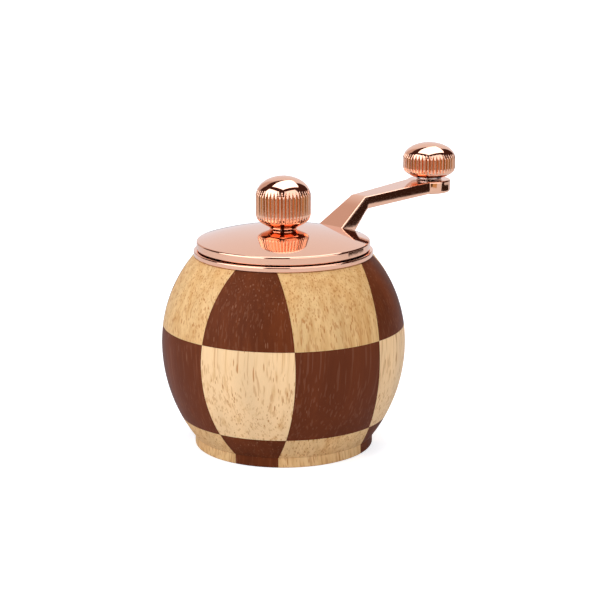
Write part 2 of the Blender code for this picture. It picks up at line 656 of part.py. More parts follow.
def make_burrs(ceramic, steel):
    """The turning inner burr with its washer and screw, and the fixed outer burr."""
    band_top_r = INNER_BURR_R - GRIND_SLOPE * GRIND_BAND_H
    inner = toothed_cone("inner_burr", [
        (INNER_BURR_R, INNER_BURR_Z), (band_top_r, INNER_BURR_Z + GRIND_BAND_H),
        (INNER_BURR_TOP_R, INNER_BURR_TOP_Z)], TOOTH_TWIST, ceramic, CRANK_AXIS)
    boolean(inner, "DIFFERENCE", square_cutter(
        "burr_square_hole", SQUARE_HOLE, INNER_BURR_Z - TOUCH, INNER_BURR_TOP_Z + TOUCH, CRANK_AXIS))
    freeze(inner)

    turned("burr_washer", [
        (BURR_SCREW_R + TOUCH, BURR_WASHER_Z + BURR_WASHER_T),
        (BURR_WASHER_R, BURR_WASHER_Z + BURR_WASHER_T),
        (BURR_WASHER_R, BURR_WASHER_Z), (BURR_SCREW_R + TOUCH, BURR_WASHER_Z)],
        steel, CRANK_AXIS, SMALL_STEPS)
    head_top_z = BURR_SCREW_Z + BURR_SCREW_HEAD_H
    turned("burr_screw", [
        (0.0, head_top_z + BURR_SCREW_LENGTH), (BURR_SCREW_R, head_top_z + BURR_SCREW_LENGTH),
        (BURR_SCREW_R, head_top_z), (BURR_SCREW_HEAD_R, head_top_z),
        (BURR_SCREW_HEAD_R, BURR_SCREW_Z), (0.0, BURR_SCREW_Z)], steel, CRANK_AXIS, SMALL_STEPS)

    outer_top_z = OUTER_BURR_Z + OUTER_BURR_H
    outer = turned("outer_burr", [
        (0.0, outer_top_z), (OUTER_BURR_R, outer_top_z), (OUTER_BURR_R, OUTER_BURR_Z),
        (0.0, OUTER_BURR_Z)], ceramic, MILL_AXIS)
    band_top_z = INNER_BURR_Z + GRIND_BAND_H
    below = OUTER_BURR_Z - GRIND_BAND_H
    above = outer_top_z + GRIND_BAND_H
    funnel = toothed_cone("outer_burr_bore", [
        (OUTER_BURR_BORE_R + TOOTH_DEPTH + GRIND_SLOPE * (INNER_BURR_Z - below), below),
        (OUTER_BURR_BORE_R + TOOTH_DEPTH - GRIND_SLOPE * GRIND_BAND_H, band_top_z),
        (OUTER_BURR_TOP_BORE_R, outer_top_z), (OUTER_BURR_TOP_BORE_R, above)],
        0.0, None, MILL_AXIS)
    boolean(outer, "DIFFERENCE", funnel)
    freeze(outer)


def make_housing(plastic, steel):
    """The flanged cup in the foot, bridged by the hub that carries the shaft's bush."""
    shoulder_r = HOUSING_BORE_R - SHOULDER_IN
    shoulder_top_z = SHOULDER_Z + SHOULDER_H
    rim_z = HUB_TOP_Z + HOUSING_LIP
    housing = turned("mill_housing", [
        (HOUSING_BORE_R, rim_z), (HOUSING_R, rim_z), (HOUSING_R, FLANGE_TOP_Z),
        (FLANGE_R, FLANGE_TOP_Z), (FLANGE_R, FLANGE_RECESS), (HOUSING_BORE_R, FLANGE_RECESS),
        (HOUSING_BORE_R, SHOULDER_Z), (shoulder_r, SHOULDER_Z), (shoulder_r, shoulder_top_z),
        (HOUSING_BORE_R, shoulder_top_z + SHOULDER_IN)], plastic, MILL_AXIS)
    reach = HOUSING_BORE_R + HOUSING_WALL / 2
    half = BRIDGE_WIDTH / 2
    boolean(housing, "UNION", box("bridge", (-reach, -half, HUB_Z + BRIDGE_SHY),
                                  (reach, half, HUB_TOP_Z - BRIDGE_SHY), MILL_AXIS))
    boolean(housing, "UNION", rod("bridge_hub", HUB_R, HUB_Z, HUB_TOP_Z, MILL_AXIS, METAL_STEPS // 2))
    boolean(housing, "DIFFERENCE", rod(
        "bridge_bore", HUB_BORE_R, HUB_Z - HUB_H, HUB_TOP_Z + HUB_H, MILL_AXIS, METAL_STEPS // 2))
    boolean(housing, "DIFFERENCE", countersunk_holes(
        "housing_screw_holes", HOUSING_SCREW_PITCH_R, FLANGE_RECESS, False, FLANGE_T))
    freeze(housing)
    countersunk_screws("housing_screw", HOUSING_SCREW_PITCH_R, FLANGE_RECESS, False, FLANGE_T, steel)
    retainer_top_z = FLANGE_RECESS + RETAINER_H
    turned("burr_retaining_ring", [
        (RETAINER_BORE_R, retainer_top_z), (OUTER_BURR_R, retainer_top_z),
        (OUTER_BURR_R, FLANGE_RECESS), (RETAINER_BORE_R, FLANGE_RECESS)], plastic, MILL_AXIS)


def make_bush(plastic):
    """The flanged bush that turns in the hub and passes the square shaft."""
    flange_r = BUSH_R + BUSH_FLANGE
    flange_top_z = BUSH_Z + BUSH_FLANGE
    bush = turned("bearing_bush", [
        (0.0, BUSH_TOP_Z), (BUSH_R, BUSH_TOP_Z), (BUSH_R, flange_top_z), (flange_r, flange_top_z),
        (flange_r, BUSH_Z), (0.0, BUSH_Z)], plastic, CRANK_AXIS, METAL_STEPS // 2)
    boolean(bush, "DIFFERENCE", square_cutter(
        "bush_square_hole", SQUARE_HOLE, BUSH_Z - TOUCH, BUSH_TOP_Z + TOUCH, CRANK_AXIS))
    freeze(bush)


def make_clip(steel):
    """The clip that keeps the shaft from dropping out when the top knob is off."""
    clip = turned("shaft_clip", [
        (0.0, CLIP_Z + CLIP_T), (SQUARE_HOLE_CORNER + CLIP_WALL, CLIP_Z + CLIP_T),
        (SQUARE_HOLE_CORNER + CLIP_WALL, CLIP_Z), (0.0, CLIP_Z)], steel, CRANK_AXIS, SMALL_STEPS)
    boolean(clip, "DIFFERENCE", square_cutter(
        "clip_square_hole", SQUARE_HOLE, CLIP_Z - TOUCH, CLIP_Z + CLIP_T + TOUCH, CRANK_AXIS))
    freeze(clip)


def make_spring(steel):
    """The wound spring between the bush and the inner burr, a tube along a helix."""
    count = round(SPRING_TURNS * SPRING_POINTS_PER_TURN)
    low = SPRING_Z + SPRING_WIRE_R
    rise = SPRING_H - 2 * SPRING_WIRE_R
    curve = bpy.data.curves.new("burr_spring", "CURVE")
    curve.dimensions = "3D"
    curve.bevel_depth = SPRING_WIRE_R
    curve.bevel_resolution = 1
    curve.use_fill_caps = True
    spline = curve.splines.new("POLY")
    spline.points.add(count)
    for i, point in enumerate(spline.points):
        angle = 2 * math.pi * i / SPRING_POINTS_PER_TURN
        height = low + rise * i / count
        point.co = (SPRING_R * math.cos(angle), SPRING_R * math.sin(angle), height, 1.0)
    guide = bpy.data.objects.new("burr_spring_wire", curve)
    CUTTERS.objects.link(guide)
    bpy.context.view_layer.update()
    mesh = bpy.data.meshes.new_from_object(guide.evaluated_get(bpy.context.evaluated_depsgraph_get()))
    bpy.data.objects.remove(guide)
    bpy.data.curves.remove(curve)
    bm = bmesh.new()
    bm.from_mesh(mesh)
    bmesh.ops.remove_doubles(bm, verts=bm.verts, dist=0.000001)
    bmesh.ops.recalc_face_normals(bm, faces=bm.faces)
    bm.to_mesh(mesh)
    bm.free()
    mesh.shade_smooth()
    new_object("burr_spring", mesh, steel, CRANK_AXIS)
    pitch = rise / SPRING_TURNS
    print("least gap between the spring's turns", round(pitch - 2 * SPRING_WIRE_R, 5))


clear_scene()
PARTS = new_collection("crank_pepper_mill")
CUTTERS = new_collection("cutters")
MILL_AXIS = new_axis("mill_axis", AXIS_X)
CRANK_AXIS = new_axis("crank_axis", AXIS_X)
KNOB_AXIS = new_axis("crank_knob_axis", AXIS_X + CRANK_REACH)

light_wood = new_material("light_wood", (0.72, 0.48, 0.24), 0.45)
dark_wood = new_material("dark_wood", (0.13, 0.032, 0.016), 0.42)
rose_gold = new_material("rose_gold", (0.83, 0.46, 0.34), 0.12, 1.0)
steel = new_material("steel", (0.60, 0.60, 0.61), 0.28, 1.0)
ceramic = new_material("ceramic", (0.86, 0.85, 0.82), 0.35)
white_plastic = new_material("white_plastic", (0.80, 0.80, 0.78), 0.5)

make_wood_blocks(light_wood, dark_wood)
make_collar(rose_gold, steel)
make_lid(rose_gold)
make_knobs(rose_gold, steel)
make_shaft(steel)
make_burrs(ceramic, steel)
make_housing(white_plastic, steel)
make_bush(white_plastic)
make_clip(steel)
make_spring(steel)
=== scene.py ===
"""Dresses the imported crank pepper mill: a ball turned from two colours of wood, a polished rose gold
lid cast with its crank arm, two ribbed knobs, and the grinding set. Metres, with Z up."""

import math
import random

import bmesh
import bpy
from mathutils import Matrix, Vector


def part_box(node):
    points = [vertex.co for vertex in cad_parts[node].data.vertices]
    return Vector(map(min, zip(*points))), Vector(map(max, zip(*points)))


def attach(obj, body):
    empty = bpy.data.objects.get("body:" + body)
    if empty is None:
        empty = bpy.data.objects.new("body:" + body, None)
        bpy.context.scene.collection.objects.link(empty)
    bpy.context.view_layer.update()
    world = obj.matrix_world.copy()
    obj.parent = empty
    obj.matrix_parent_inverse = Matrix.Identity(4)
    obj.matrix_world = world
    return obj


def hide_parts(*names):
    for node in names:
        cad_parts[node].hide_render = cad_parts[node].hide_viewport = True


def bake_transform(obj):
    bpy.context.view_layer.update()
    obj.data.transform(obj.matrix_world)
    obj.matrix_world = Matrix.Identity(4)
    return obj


bl_info = {
    "name": "Crank pepper mill",
    "version": (1, 0, 0),
    "blender": (4, 5, 0),
    "location": "3D View > Sidebar > Pepper mill",
    "description": "Dresses a packed crank pepper mill in wood, rose gold and its grinding set",
    "category": "Add Mesh",
}

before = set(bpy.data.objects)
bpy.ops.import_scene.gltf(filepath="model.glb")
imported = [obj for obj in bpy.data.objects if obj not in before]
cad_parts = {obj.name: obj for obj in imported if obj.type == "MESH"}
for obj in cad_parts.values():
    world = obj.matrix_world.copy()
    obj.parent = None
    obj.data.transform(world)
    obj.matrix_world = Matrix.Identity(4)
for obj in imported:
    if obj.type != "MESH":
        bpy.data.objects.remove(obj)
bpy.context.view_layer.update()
MM = 0.001


def low(node):
    """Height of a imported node's lowest point."""
    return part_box(node)[0].z


def high(node):
    """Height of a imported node's highest point."""
    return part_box(node)[1].z


def centre_x(node):
    """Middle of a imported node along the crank."""
    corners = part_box(node)
    return (corners[0].x + corners[1].x) / 2


def half_width(node):
    """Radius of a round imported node."""
    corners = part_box(node)
    return (corners[1].x - corners[0].x) / 2


def span(node):
    """Radius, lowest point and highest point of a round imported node."""
    return half_width(node), low(node), high(node)


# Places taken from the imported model
MILL_X = centre_x("collar_ring")
KNOB_X = centre_x("crank_knob_washer")
FOOT_SEAM_Z = (high("foot_face_block_1") + low("middle_face_block_1")) / 2
EQUATOR_Z = (high("middle_face_block_1") + low("upper_face_block_1")) / 2
WOOD_TOP_Z = high("upper_face_block_1")
COLLAR_TOP_Z = high("collar_ring")
SEAT_GAP = 0.3 * MM
LID_LOW_Z = COLLAR_TOP_Z + SEAT_GAP
TOP_KNOB_LOW_Z = low("top_knob")
APEX_Z = TOP_KNOB_LOW_Z - SEAT_GAP
PAD_TOP_Z = low("crank_knob_washer") - SEAT_GAP
PAD_LOW_Z = low("crank_knob_pin")
FLANGE_H = 2.3 * MM
FLANGE_TOP_Z = low("mill_housing") + FLANGE_H

# Clearances around the shaft and in the bores
RUNNING_GAP = 0.2 * MM
HOLE_GAP = 0.15 * MM

# Roundings that several pieces share
FINE_EDGE = 0.1 * MM
SOFT_EDGE = 0.2 * MM
ROUND_EDGE = 0.3 * MM

# Steps around turned pieces
BODY_STEPS = 192
CUP_STEPS = 160
HUB_STEPS = 96
SMALL_STEPS = 64
SCREW_STEPS = 32

# The wood screws: the head's radius for each unit of the shank's, and the head's height
SCREW_HEAD = 1.6
SCREW_HEAD_H = 0.7 * MM

# The wood's vessels: spacing in millimetres, widest radius as a share of it, and how fast they come
# and go along the grain
VESSELS = ((0.78, 0.24, 0.16), (1.1, 0.21, 0.06))


class WoodSettings(bpy.types.PropertyGroup):
    """The turned body and its two woods."""

    ball_radius: bpy.props.FloatProperty(
        name="Ball radius", description="Widest radius of the turned ball",
        default=37.5 * MM, unit="LENGTH")
    widest_height: bpy.props.FloatProperty(
        name="Widest height", description="Height of the widest place over the table",
        default=32.2 * MM, unit="LENGTH")
    top_radius: bpy.props.FloatProperty(
        name="Top radius", description="Radius of the wood under the collar",
        default=27.3 * MM, unit="LENGTH")
    foot_radius: bpy.props.FloatProperty(
        name="Foot radius", description="Radius of the foot band",
        default=27.58 * MM, unit="LENGTH")
    foot_height: bpy.props.FloatProperty(
        name="Foot height", description="Height of the foot band",
        default=3.3 * MM, unit="LENGTH")
    cube: bpy.props.FloatProperty(
        name="Cube", description="Edge of one glued cube before turning",
        default=28.25 * MM, unit="LENGTH")
    row_angle: bpy.props.FloatProperty(
        name="Row angle", description="Angle of the cube rows from the crank at rest",
        default=math.radians(-14.6), unit="ROTATION")
    light_colour: bpy.props.FloatVectorProperty(
        name="Light wood", description="Colour of the pale blocks",
        default=(0.745, 0.475, 0.222), subtype="COLOR")
    light_streak: bpy.props.FloatVectorProperty(
        name="Light wood streaks", description="Colour of the late growth in the pale blocks",
        default=(0.57, 0.305, 0.11), subtype="COLOR")
    light_pore: bpy.props.FloatVectorProperty(
        name="Light wood pores", description="Colour of the open pores in the pale blocks",
        default=(0.42, 0.165, 0.044), subtype="COLOR")
    dark_colour: bpy.props.FloatVectorProperty(
        name="Dark wood", description="Colour of the brown blocks",
        default=(0.107, 0.0235, 0.0070), subtype="COLOR")
    dark_streak: bpy.props.FloatVectorProperty(
        name="Dark wood streaks", description="Redder growth in the brown blocks",
        default=(0.150, 0.034, 0.009), subtype="COLOR")
    dark_fleck: bpy.props.FloatVectorProperty(
        name="Dark wood flecks", description="Pale flecks in the brown blocks",
        default=(0.36, 0.16, 0.09), subtype="COLOR")


class LidSettings(bpy.types.PropertyGroup):
    """The lid and the crank arm."""

    radius: bpy.props.FloatProperty(
        name="Lid radius", description="Radius of the lid's rim",
        default=26.5 * MM, unit="LENGTH")
    dome_rise: bpy.props.FloatProperty(
        name="Dome rise", description="Rise of the dome over its rim",
        default=3.3 * MM, unit="LENGTH")
    rim_edge: bpy.props.FloatProperty(
        name="Rim edge", description="Rounding of the rim's upper edge",
        default=0.6 * MM, unit="LENGTH")
    root_reach: bpy.props.FloatProperty(
        name="Root reach", description="Distance from the mill's axis at which the arm leaves the dome",
        default=18.5 * MM, unit="LENGTH")
    root_half: bpy.props.FloatProperty(
        name="Root half width", description="Half of the arm's width at its root",
        default=5.5 * MM, unit="LENGTH")
    bend_reach: bpy.props.FloatProperty(
        name="Bend reach", description="Distance from the mill's axis to the arm's bend",
        default=31.9 * MM, unit="LENGTH")
    bend_rise: bpy.props.FloatProperty(
        name="Bend rise", description="Height of the bend's upper face over the rim",
        default=9.45 * MM, unit="LENGTH")
    bend_half: bpy.props.FloatProperty(
        name="Bend half width", description="Half of the arm's width at its bend",
        default=3.3 * MM, unit="LENGTH")
    end_half: bpy.props.FloatProperty(
        name="End half width", description="Half of the arm's width where it meets the pad",
        default=5.0 * MM, unit="LENGTH")
    pad_radius: bpy.props.FloatProperty(
        name="Pad radius", description="Radius of the round pad under the crank knob",
        default=7.0 * MM, unit="LENGTH")
    upper_edge: bpy.props.FloatProperty(
        name="Upper edge", description="Width of the arm's softened upper edges",
        default=0.5 * MM, unit="LENGTH")
    lower_edge: bpy.props.FloatProperty(
        name="Lower edge", description="Width of the arm's softened lower edges",
        default=0.9 * MM, unit="LENGTH")


class KnobSettings(bpy.types.PropertyGroup):
    """The ribbed knobs."""

    ribs: bpy.props.IntProperty(
        name="Ribs", description="Number of ribs around a knob", default=44, min=8)
    rib_depth: bpy.props.FloatProperty(
        name="Rib depth", description="Depth of the grooves between the ribs",
        default=0.6 * MM, unit="LENGTH")
    top_radius: bpy.props.FloatProperty(
        name="Top knob radius", description="Radius over the top knob's ribs",
        default=8.4 * MM, unit="LENGTH")
    crank_radius: bpy.props.FloatProperty(
        name="Crank knob radius", description="Radius over the crank knob's ribs",
        default=8.5 * MM, unit="LENGTH")


class GrinderSettings(bpy.types.PropertyGroup):
    """The burrs, the shaft and the screws."""

    teeth: bpy.props.IntProperty(
        name="Teeth", description="Number of large teeth on each burr", default=18, min=6)
    tooth_depth: bpy.props.FloatProperty(
        name="Tooth depth", description="Depth of the large teeth", default=0.8 * MM, unit="LENGTH")
    band_height: bpy.props.FloatProperty(
        name="Grinding band", description="Height of the burrs' fine lower band",
        default=3.0 * MM, unit="LENGTH")
    band_slope: bpy.props.FloatProperty(
        name="Band slope", description="Radius lost for each unit of height in that band", default=0.37)
    inner_top_radius: bpy.props.FloatProperty(
        name="Inner burr top", description="Radius of the inner burr's upper end",
        default=6.6 * MM, unit="LENGTH")
    shaft_side: bpy.props.FloatProperty(
        name="Shaft side", description="Width of the square shaft", default=5.0 * MM, unit="LENGTH")
    thread_radius: bpy.props.FloatProperty(
        name="Thread radius", description="Outer radius of the shaft's thread",
        default=2.4 * MM, unit="LENGTH")
    thread_lead: bpy.props.FloatProperty(
        name="Thread lead", description="Rise of the thread in one turn",
        default=0.8 * MM, unit="LENGTH")
    wire_radius: bpy.props.FloatProperty(
        name="Wire radius", description="Radius of the spring's wire", default=0.4 * MM, unit="LENGTH")
    screw_radius: bpy.props.FloatProperty(
        name="Screw radius", description="Radius of the wood screws", default=1.0 * MM, unit="LENGTH")


class MetalSettings(bpy.types.PropertyGroup):
    """The metals, the ceramic and the plastic."""

    rose_gold: bpy.props.FloatVectorProperty(
        name="Rose gold", description="Colour of the polished plating",
        default=(0.94, 0.53, 0.36), subtype="COLOR")
    steel: bpy.props.FloatVectorProperty(
        name="Steel", description="Colour of the shaft, screws, washers and spring",
        default=(0.50, 0.48, 0.46), subtype="COLOR")
    ceramic: bpy.props.FloatVectorProperty(
        name="Ceramic", description="Colour of the burrs",
        default=(0.82, 0.80, 0.75), subtype="COLOR")
    plastic: bpy.props.FloatVectorProperty(
        name="Plastic", description="Colour of the housing and the bush",
        default=(0.78, 0.78, 0.76), subtype="COLOR")


class StudioSettings(bpy.types.PropertyGroup):
    """The floor and the soft lights."""

    floor: bpy.props.FloatVectorProperty(
        name="Floor", description="Colour of the floor", default=(0.68, 0.68, 0.69), subtype="COLOR")
    wall: bpy.props.FloatVectorProperty(
        name="Back wall", description="Light from the wall behind", default=(0.605, 0.62, 0.67),
        subtype="COLOR")
    wall_left: bpy.props.FloatVectorProperty(
        name="Back wall's left", description="Warmer light from the left end of the wall",
        default=(0.46, 0.385, 0.37), subtype="COLOR")
    top: bpy.props.FloatProperty(
        name="Top light", description="Brightness of the overhead softbox", default=2.8)
    left: bpy.props.FloatProperty(
        name="Left light", description="Brightness of the softbox on the left", default=2.6)
    right: bpy.props.FloatProperty(
        name="Right light", description="Brightness of the softbox on the right", default=1.5)
    room: bpy.props.FloatVectorProperty(
        name="Room", description="Colour of the dark room that the metal reflects",
        default=(0.055, 0.023, 0.018), subtype="COLOR")


class Value:
    """One output inside a material. Arithmetic on it adds the Math nodes that work it out."""

    def __init__(self, finish, socket):
        self.finish = finish
        self.socket = socket

    def math(self, operation, *inputs):
        return self.finish.node("ShaderNodeMath", {"operation": operation}, dict(enumerate(inputs)))

    def __add__(self, other):
        return self.math("ADD", self, other)

    def __radd__(self, other):
        return self.math("ADD", other, self)

    def __sub__(self, other):
        return self.math("SUBTRACT", self, other)

    def __rsub__(self, other):
        return self.math("SUBTRACT", other, self)

    def __mul__(self, other):
        return self.math("MULTIPLY", self, other)

    def __rmul__(self, other):
        return self.math("MULTIPLY", other, self)


class Finish:
    """A material on the standard surface shader, built up a node at a time."""

    def __init__(self, name):
        self.material = bpy.data.materials.new(name)
        self.material.use_nodes = True
        self.nodes = self.material.node_tree.nodes
        self.links = self.material.node_tree.links
        self.shader = self.nodes["Principled BSDF"]

    def node(self, kind, settings=None, inputs=None, output=0):
        """Adds a node, sets it up, feeds its sockets and returns one of its outputs."""
        node = self.nodes.new(kind)
        for key, value in (settings or {}).items():
            if key == "stops":
                while len(node.color_ramp.elements) < len(value):
                    node.color_ramp.elements.new(1.0)
                for element, (position, colour) in zip(node.color_ramp.elements, value):
                    element.position = position
                    element.color = (*colour, 1.0)
            else:
                setattr(node, key, value)
        self.feed(node, inputs or {})
        return Value(self, node.outputs[output])

    def feed(self, node, inputs):
        """Links the values to a node's sockets and sets its other inputs."""
        for key, value in inputs.items():
            if isinstance(value, Value):
                self.links.new(value.socket, node.inputs[key])
            elif hasattr(value, "__len__") and node.inputs[key].type == "RGBA":
                node.inputs[key].default_value = (*value, 1.0)
            else:
                node.inputs[key].default_value = value

    def surface(self, **inputs):
        """Feeds the surface shader; its socket names are written with underscores."""
        self.feed(self.shader, {key.replace("_", " ").title().replace("Ior", "IOR"): value
                                for key, value in inputs.items()})

    def coordinates(self):
        """The place on the object in millimetres."""
        place = self.node("ShaderNodeTexCoord", output="Object")
        return self.stretch(place, (1 / MM, 1 / MM, 1 / MM))

    def attribute(self, name, output):
        return self.node("ShaderNodeAttribute", {"attribute_name": name}, output=output)

    def stretch(self, vector, factors):
        return self.node("ShaderNodeVectorMath", {"operation": "MULTIPLY"}, {0: vector, 1: factors})

    def noise(self, vector, detail=2.0, output=0):
        """Cloudy noise from 0 to 1, one wave for each unit of the vector."""
        return self.node("ShaderNodeTexNoise", {}, {
            "Vector": vector, "Scale": 1.0, "Detail": detail, "Roughness": 0.55}, output)

    def mix(self, share, first, second):
        return self.node("ShaderNodeMix", {"data_type": "RGBA"}, {0: share, 6: first, 7: second}, 2)

    def ramp(self, value, start, end):
        """0 below start, 1 above end, eased between them."""
        return self.node("ShaderNodeMapRange", {"interpolation_type": "SMOOTHSTEP"}, {
            "Value": value, "From Min": start, "From Max": end})

    def bump(self, height, depth, strength=1.0):
        return self.node("ShaderNodeBump", {}, {
            "Height": height, "Distance": depth, "Strength": strength})


def drawn_out(finish, board, across, along, detail):
    """Noise drawn out along the grain, by its waves for each millimetre across it and along it."""
    return finish.noise(finish.stretch(board, (across, across, along)), detail)


def wood(name, base, streak, mark, mark_share, mark_blend, figure, shine):
    """Upright grain: soft growth bands, fibres, and vessels that the lathe opened as dashes and dots."""
    finish = Finish(name)
    board = finish.attribute("grain_place", "Vector")
    tone = finish.attribute("block_tone", "Fac")

    # The grain wanders by a few millimetres, then its growth and fibres are drawn out upwards
    drift = finish.noise(finish.stretch(board, (0.06, 0.06, 0.03)), 1.0, "Color")
    wavy = finish.node("ShaderNodeVectorMath", {"operation": "MULTIPLY_ADD"}, {
        0: drift, 1: (5.0, 5.0, 0.0), 2: board})
    broad = drawn_out(finish, wavy, 0.11, 0.010, 1.0)
    bands = drawn_out(finish, wavy, 0.55, 0.018, 3.0)
    fibres = drawn_out(finish, wavy, 4.5, 0.12, 2.0)

    # Vessels are upright tubes that come and go; a face shows each where it cuts it
    opened = 0.0
    for spacing, widest, rise in VESSELS:
        cells = finish.stretch(wavy, (1 / spacing, 1 / spacing, 0.0))
        tubes = {"voronoi_dimensions": "2D"}
        distance = finish.node("ShaderNodeTexVoronoi", tubes, {"Vector": cells, "Scale": 1.0},
                               "Distance")
        chance = finish.node("ShaderNodeTexVoronoi", tubes, {"Vector": cells, "Scale": 1.0}, "Color")
        size = finish.node("ShaderNodeSeparateColor", {}, {0: chance}, 0)
        along = finish.node("ShaderNodeVectorMath", {"operation": "MULTIPLY_ADD"}, {
            0: chance, 1: (60.0, 60.0, 60.0), 2: finish.stretch(wavy, (0.05, 0.05, rise))})
        present = finish.ramp(finish.noise(along, 1.0) - 0.07 * tone, 0.60 - 0.2 * mark_share,
                              0.72 - 0.2 * mark_share)
        reach = widest * (0.35 + 0.65 * size) * present
        opened = opened + (1 - finish.ramp(distance - reach, -0.04, 0.05)) * present

    # Late growth and thin brown lines over the base, a tone for the block, and the vessels last
    grown = finish.ramp(0.55 * bands + 0.45 * broad - 0.10 * tone, 0.40, 0.68)
    colour = finish.mix(figure * grown, base, streak)
    lines = drawn_out(finish, wavy, 1.5, 0.03, 1.0)
    colour = finish.mix(0.6 * figure * finish.ramp(bands, 0.58, 0.68), colour, streak)
    colour = finish.mix(0.7 * figure * mark_blend * finish.ramp(lines, 0.57, 0.65), colour, mark)
    shade = 1 + 0.10 * tone + 0.45 * (broad - 0.5) + 0.20 * (fibres - 0.5)
    cream = finish.node("ShaderNodeCombineColor", {}, {
        0: shade, 1: shade + 0.04 * tone, 2: shade + 0.18 * tone})
    colour = finish.node("ShaderNodeMix", {"data_type": "RGBA", "blend_type": "MULTIPLY"}, {
        0: 1.0, 6: colour, 7: cream}, 2)
    colour = finish.mix(mark_blend * opened, colour, mark)
    height = 0.25 * fibres - opened
    finish.surface(base_color=colour, roughness=0.44 + 0.20 * opened + 0.08 * (fibres - 0.5),
                   normal=finish.bump(height, 0.03 * MM, 0.5), specular_ior_level=shine)
    return finish.material


def rose_gold(name, colour):
    """Polished plating: a mirror with a faint orange-peel waviness and hairline wiping marks."""
    finish = Finish(name)
    place = finish.coordinates()
    waves = finish.noise(finish.stretch(place, (0.22, 0.22, 0.22)), 1.0)
    haze = finish.noise(finish.stretch(place, (0.9, 0.9, 0.9)), 3.0)
    finish.surface(base_color=colour, metallic=1.0, roughness=0.045 + 0.035 * haze,
                   normal=finish.bump(waves, 0.012 * MM, 0.8))
    return finish.material


def steel(name, colour):
    """Turned and ground steel with fine rings."""
    finish = Finish(name)
    place = finish.coordinates()
    rings = finish.noise(finish.stretch(place, (0.6, 0.6, 9.0)), 2.0)
    finish.surface(base_color=colour, metallic=1.0, roughness=0.20 + 0.16 * rings,
                   normal=finish.bump(rings, 0.004 * MM, 0.6))
    return finish.material


def ceramic(name, colour):
    """Fired ceramic, slightly speckled and dry."""
    finish = Finish(name)
    place = finish.coordinates()
    grains = finish.noise(finish.stretch(place, (6.0, 6.0, 6.0)), 3.0)
    cloud = finish.noise(finish.stretch(place, (0.4, 0.4, 0.4)), 2.0)
    tint = finish.mix(finish.ramp(cloud, 0.3, 0.75), colour, tuple(0.9 * c for c in colour))
    finish.surface(base_color=tint, roughness=0.42 + 0.2 * grains,
                   normal=finish.bump(grains, 0.02 * MM, 0.7))
    return finish.material


def plastic(name, colour):
    """Moulded plastic with a fine matt texture."""
    finish = Finish(name)
    place = finish.coordinates()
    texture = finish.noise(finish.stretch(place, (4.0, 4.0, 4.0)), 2.0)
    cloud = finish.noise(finish.stretch(place, (0.15, 0.15, 0.15)), 1.0)
    tint = finish.mix(cloud, colour, tuple(0.94 * c for c in colour))
    finish.surface(base_color=tint, roughness=0.40 + 0.12 * texture,
                   normal=finish.bump(texture, 0.015 * MM, 0.6))
    return finish.material


def finish_for(slot):
    """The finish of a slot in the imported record, made the first time that it is asked for."""
    name = "finish_" + slot
    if name not in bpy.data.materials:
        woods = bpy.context.scene.pepper_mill_wood
        metals = bpy.context.scene.pepper_mill_metal
        if slot == "light_wood":
            wood(name, woods.light_colour, woods.light_streak, woods.light_pore,
                 mark_share=0.70, mark_blend=0.80, figure=0.8, shine=0.16)
        elif slot == "dark_wood":
            wood(name, woods.dark_colour, woods.dark_streak, woods.dark_fleck,
                 mark_share=0.25, mark_blend=0.36, figure=0.45, shine=0.05)
        elif slot == "rose_gold":
            rose_gold(name, metals.rose_gold)
        elif slot == "steel":
            steel(name, metals.steel)
        elif slot == "ceramic":
            ceramic(name, metals.ceramic)
        else:
            plastic(name, metals.plastic)
    return bpy.data.materials[name]


def rounded(outline):
    """A closed outline of (radius, height) points, its corners rounded where a third number says."""
    points = []
    count = len(outline)
    for i, corner in enumerate(outline):
        here = Vector(corner[:2])
        if len(corner) < 3:
            points.append(here)
            continue
        back = Vector(outline[i - 1][:2]) - here
        ahead = Vector(outline[(i + 1) % count][:2]) - here
        angle = back.angle(ahead)
        trim = corner[2] / math.tan(angle / 2)
        centre = here + (back.normalized() + ahead.normalized()).normalized() * (
            corner[2] / math.sin(angle / 2))
        start = here + back.normalized() * trim - centre
        sweep = start.angle_signed(here + ahead.normalized() * trim - centre)
        steps = max(2, round(abs(math.degrees(sweep)) / 12))
        for j in range(steps + 1):
            points.append(centre + Matrix.Rotation(-sweep * j / steps, 2) @ start)
    return points


def arc(centre, radius, start, end, steps):
    """Points on a circle in the (radius, height) plane from the angle start to the angle end."""
    turns = [start + (end - start) * i / steps for i in range(steps + 1)]
    return [(centre[0] + radius * math.cos(a), centre[1] + radius * math.sin(a)) for a in turns]


def turned(outline, steps):
    """A closed outline of (radius, height) points turned about Z."""
    bm = bmesh.new()
    verts = [bm.verts.new((r, 0.0, z)) for r, z in rounded(outline)]
    for a, b in zip(verts, verts[1:] + verts[:1]):
        if a.co.x > 0.0 or b.co.x > 0.0:
            bm.edges.new((a, b))
    bmesh.ops.spin(bm, geom=bm.verts[:] + bm.edges[:], cent=(0.0, 0.0, 0.0), axis=(0.0, 0.0, 1.0),
                   dvec=(0.0, 0.0, 0.0), angle=2 * math.pi, steps=steps, use_merge=True)
    bmesh.ops.remove_doubles(bm, verts=bm.verts, dist=1e-7)
    bmesh.ops.recalc_face_normals(bm, faces=bm.faces)
    return bm


def in_scene(name, bm, paint=None):
    """Makes a bmesh an object of the scene, and frees it."""
    mesh = bpy.data.meshes.new(name)
    bm.to_mesh(mesh)
    bm.free()
    if paint:
        mesh.materials.append(paint)
    obj = bpy.data.objects.new(name, mesh)
    bpy.context.scene.collection.objects.link(obj)
    return obj


